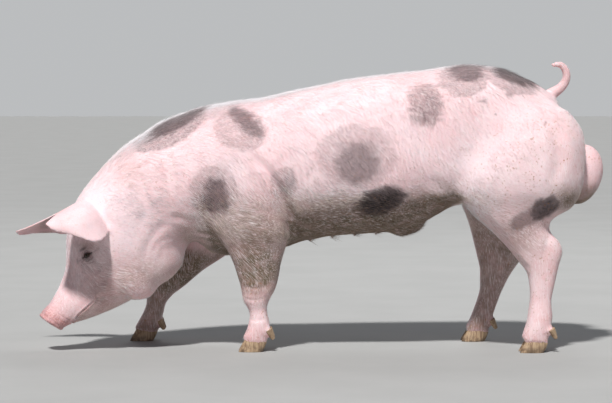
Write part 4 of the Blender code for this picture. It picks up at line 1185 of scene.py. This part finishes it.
def rootsOfCoat():
    # the skin's triangles that tufts grow on, and where in them: drawn by area and density
    faces = facesOf(flesh.data)
    corners = skinPoints[faces]
    a, b, c = corners[:, 0], corners[:, 1], corners[:, 2]
    area = np.linalg.norm(np.cross(b - a, c - a), axis=1) / 2
    per = {name: mask[faces].mean(axis=1) for name, mask in soft.items()}
    density = sum(coat[name][0] * share for name, share in per.items())
    normals = unit(skinNormals[faces].mean(axis=1))
    centres = corners.mean(axis=1)
    top = fringeAt(centres, normals, per["trunk"] + per["neck"])
    density *= 1 + (fringe["density"] - 1) * top
    straight = intoHead(centres)
    density *= 1 - ridgeUp(discDistance(straight), *growth["bareDisc"]) * (straight[:, 0] < muzzle["end"])
    density *= 1 - ridgeUp(layers["lid"][faces].mean(axis=1), *growth["bareLids"])
    density *= 1 - kinds["horn"][faces].max(axis=1)
    total = np.cumsum(area * density)
    count = int(total[-1] * (1.0))
    picks = np.searchsorted(total, (np.arange(count) + random.random(count)) / count * total[-1])
    share = random.random((count, 2))
    share[share.sum(axis=1) > 1] = 1 - share[share.sum(axis=1) > 1]
    share = np.stack((1 - share.sum(axis=1), share[:, 0], share[:, 1]), axis=1)
    return faces[picks], share


def coatGroups(roots, kind, top):
    # the piece that each tuft joins, where a later row wins
    groups = np.full(len(roots), "coatRight", dtype="U16")
    leg, height = kind == "leg", roots[:, 2]
    for name, chosen in (("coatLeft", roots[:, 1] < headPivot[1]), ("coatBelly", height < growth["bellyTop"]),
                         ("coatBack", top > growth["backFrom"]), ("coatNeck", kind == "neck"),
                         ("coatForelegs", leg), ("coatHams", leg & (roots[:, 0] > growth["hamsFrom"])),
                         ("coatHead", np.isin(kind, ("head", "lower", "snout", "eye"))),
                         ("coatEarsTail", np.isin(kind, ("ear", "tail", "scrotum")))):
        groups[chosen] = name
    return groups


def growCoat():
    model = tuftArrays()
    faces, share = rootsOfCoat()

    def take(values):
        return (values[faces] * share).sum(axis=1)

    roots = (skinPoints[faces] * share[:, :, None]).sum(axis=1)
    normals = unit((skinNormals[faces] * share[:, :, None]).sum(axis=1))
    count, height = len(roots), roots[:, 2]
    here = {name: take(mask) for name, mask in soft.items()}
    kind = np.array(list(here))[np.argmax(list(here.values()), axis=0)]
    length = sum(coat[name][1] * mask for name, mask in here.items())
    lift = sum(coat[name][2] * mask for name, mask in here.items())
    legFall = here["leg"] * (1 - ridgeUp(height, *growth["legHeights"]))
    length *= 1 - growth["shortLeg"] * legFall
    top = fringeAt(roots, normals, here["trunk"] + here["neck"])
    length += (fringe["length"] - length) * top
    lift += (fringe["lift"] - lift) * top
    for *place, long, raised in bristles:
        amount = patch(roots, *place) * (random.random(count) < growth["bristleShare"])
        length += (np.maximum(long, length) - length) * amount
        lift += (np.maximum(raised, lift) - lift) * amount
    paler = 0.4 * (here["leg"] + here["head"] + here["lower"])
    paler += 0.45 * ridgeDown(height, *growth["paleBelow"])
    paler += 0.55 * random.random(count) ** 2
    stiff = sum(patch(roots, *place) for *place, _, _ in bristles)
    length *= 0.75 + 0.5 * random.random(count)
    lift *= 0.7 + 0.6 * random.random(count)
    along = fieldAt(roots, normals, kind)
    along = unit(along - (along * normals).sum(axis=1)[:, None] * normals)
    across = np.cross(normals, along)
    swirl = noiseAt(roots / growth["swirlSize"] + 11) * growth["swirl"]
    swirl = swirl + random.normal(0, growth["stray"], count)
    turn, lean = np.cos(swirl)[:, None], np.sin(swirl)[:, None]
    along, across = turn * along + lean * across, turn * across - lean * along
    width = np.clip((length / tuft["length"]) ** 0.6, *growth["width"])
    width = width * (1 + growth["bristleWider"] * np.clip(stiff, 0, 1))
    chart = placesOnChart(roots)
    dark = np.clip(1.25 * take(coreShare * coreTone) - 0.22 + 0.22 * (random.random(count) - 0.5), 0, 1)
    frost = np.clip(fringe["frost"] * top + paler + stiff, 0, 1) * (1 - dark)
    # the hair browns with the skin's brown layer, so it carries that layer's dirt and also its painted shade
    tint = random.random(count) * 0.32 + growth["brownTint"] * take(layers["brown"])
    tufts = {
        "root": roots, "normal": normals, "along": along, "across": across, "length": length, "lift": lift,
        "width": width, "chart": chart, "dark": dark, "tint": tint, "frost": frost,
    }
    groups, material = coatGroups(roots, kind, top), hairMaterial()
    for group in sorted(set(groups)):
        members = np.flatnonzero(groups == group)
        parts = math.ceil(len(members) / growth["tuftsInPiece"])
        order = np.argsort(roots[members, 0], kind="stable")
        for number, part in enumerate(np.array_split(members[order], parts)):
            name = group if parts == 1 else group + "ABCDEFGH"[number]
            makeCoatPiece(name, model, {key: values[part] for key, values in tufts.items()}, material)
    print("coat grown:", count, "tufts")


def makeCoatPiece(name, model, tufts, material):
    points, blade, sizes, corners = model
    count, loops = len(tufts["root"]), len(corners)
    apart, astray, stagger = (np.array(tuft[key])[blade][None, :] for key in ("apart", "astray", "stagger"))
    share = points[None, :, 0]
    jitter = random.normal(0, 1, (count, tuft["blades"]))[:, blade]
    long, wide = tufts["length"][:, None], tufts["width"][:, None]
    forward = share * long
    raised = tufts["lift"][:, None] * long * (share - tuft["droop"] * share**2) * (1 + 0.25 * jitter)
    sideways = apart * wide * 1.3 + (astray + 0.05 * jitter) * forward
    sideways = sideways + points[None, :, 1] * wide
    raised = raised + points[None, :, 2] * wide - tuft["rooted"]
    forward = forward + stagger * long
    place = tufts["root"][:, None, :]
    for amount, key in ((forward, "along"), (sideways, "across"), (raised, "normal")):
        place = place + amount[:, :, None] * tufts[key][:, None, :]
    mesh = bpy.data.meshes.new(name)
    mesh.vertices.add(count * len(points))
    mesh.vertices.foreach_set("co", place.astype(np.float32).ravel())
    mesh.loops.add(count * loops)
    index = corners[None, :] + (np.arange(count) * len(points))[:, None]
    mesh.loops.foreach_set("vertex_index", index.astype(np.int32).ravel())
    mesh.polygons.add(count * len(sizes))
    starts = np.concatenate(([0], np.cumsum(sizes)[:-1]))[None, :] + (np.arange(count) * loops)[:, None]
    mesh.polygons.foreach_set("loop_start", starts.astype(np.int32).ravel())
    mesh.polygons.foreach_set("loop_total", np.tile(sizes, count).astype(np.int32))
    mesh.update(calc_edges=True)
    # each tuft is a small leaf round its root's place on the skin's chart
    leaf = np.stack((points[:, 0] - 0.5, (blade - 1) * 0.33 + points[:, 1] / tuft["radius"] * 0.1), axis=1)
    chart = tufts["chart"][:, None, :] + (leaf[corners] * tuft["chartSize"])[None, :, :]
    layer = mesh.uv_layers.new(name="OFBake")
    layer.data.foreach_set("uv", np.clip(chart, 0, 1).astype(np.float32).ravel())
    for key in ("dark", "tint", "frost"):
        addLayer(mesh, key, np.repeat(tufts[key], len(points)))
    mesh.materials.append(material)
    piece = bpy.data.objects.new(name, mesh)
    bpy.context.scene.collection.objects.link(piece)
    selectOnly(piece)
    bpy.ops.object.shade_smooth()
    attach(piece, "root")


hairColours = {
    "plain": (0.89, 0.7, 0.715, 1), "frost": (0.9, 0.9, 0.93, 1), "soiled": (0.74, 0.61, 0.5, 1),
    "brown": (0.27, 0.19, 0.135, 1), "dark": (0.018, 0.015, 0.016, 1),
}


def hairMaterial():
    made, tree, shader = newMaterial("pigHair", 0.45, sheen=0.05)
    shade = hairColours
    colour = mixed(tree, layerOf(tree, "frost"), shade["plain"], shade["frost"])
    colour = mixed(tree, spread(tree, layerOf(tree, "tint"), 0.15, 0.6, 0.0, 0.8), colour, shade["soiled"])
    colour = mixed(tree, spread(tree, layerOf(tree, "tint"), 0.55, 1.05), colour, shade["brown"])
    colour = mixed(tree, layerOf(tree, "dark"), colour, shade["dark"])
    tree.links.new(colour, shader.inputs["Base Color"])
    return made


growCoat()

# studio: pale floor, soft lights, and the camera level with the top of the back, 7 m away
studio = {
    "floor": 90.0, "floorColours": ((0.37, 0.37, 0.362, 1), (0.39, 0.39, 0.382, 1)),
    "skyLow": (0.5, 0.51, 0.52, 1), "skyHigh": (0.112, 0.124, 0.143, 1), "horizon": (0.04, 0.14),
    "camera": (-0.0033, -6.9778, 0.8), "aim": (-0.0033, 0.0222, 0.4365), "lens": 2333.3 / 612 * 36,
    "sensor": 36, "litPlace": (0, 0, 0.45),
}
# each lamp: kind, where it shines from, its size in metres or degrees, strength and colour
lamps = {
    "key": ("SUN", (-0.9, -3.6, 5.6), 5.0, 4.25, (1.0, 0.99, 0.98)),
    "fill": ("AREA", (3.5, -6.5, 1.6), 4.0, 7, (0.95, 0.97, 1.0)),
    "back": ("AREA", (1.0, 3.6, 5.2), 2.5, 80, (0.98, 0.99, 1.0)),
}


def aimAt(thing, place, target):
    thing.location = place
    thing.rotation_euler = (Vector(target) - Vector(place)).to_track_quat("-Z", "Y").to_euler()
    bpy.context.scene.collection.objects.link(thing)


bpy.ops.mesh.primitive_plane_add(size=studio["floor"], location=(0, 0, 0))
floor = bpy.context.object
floor.name = "floor"
floorFinish, tree, shader = newMaterial("floorPale", 0.85)
floorShade = mixed(tree, spread(tree, grained(tree, 3.0), 0.3, 0.7), *studio["floorColours"])
tree.links.new(floorShade, shader.inputs["Base Color"])
floor.data.materials.append(floorFinish)
for name, (kind, place, size, energy, colour) in lamps.items():
    light = bpy.data.lights.new(name, kind)
    light.energy, light.color = energy, colour
    if kind == "SUN":
        light.angle = math.radians(size)
    else:
        light.size = size
    aimAt(bpy.data.objects.new(name, light), place, studio["litPlace"])
world = bpy.data.worlds.new("studio")
world.use_nodes = True
tree = world.node_tree
upward = addNode(tree, "ShaderNodeSeparateXYZ")
tree.links.new(addNode(tree, "ShaderNodeTexCoord").outputs["Generated"], upward.inputs[0])
sky = mixed(tree, spread(tree, upward.outputs[2], *studio["horizon"]), studio["skyLow"], studio["skyHigh"])
tree.links.new(sky, tree.nodes["Background"].inputs["Color"])
bpy.context.scene.world = world
camera = bpy.data.objects.new("camera", bpy.data.cameras.new("camera"))
camera.data.sensor_width, camera.data.lens = studio["sensor"], studio["lens"]
aimAt(camera, studio["camera"], studio["aim"])
bpy.context.scene.camera = camera
bpy.context.scene.view_settings.view_transform = "Standard"
print("studio set")
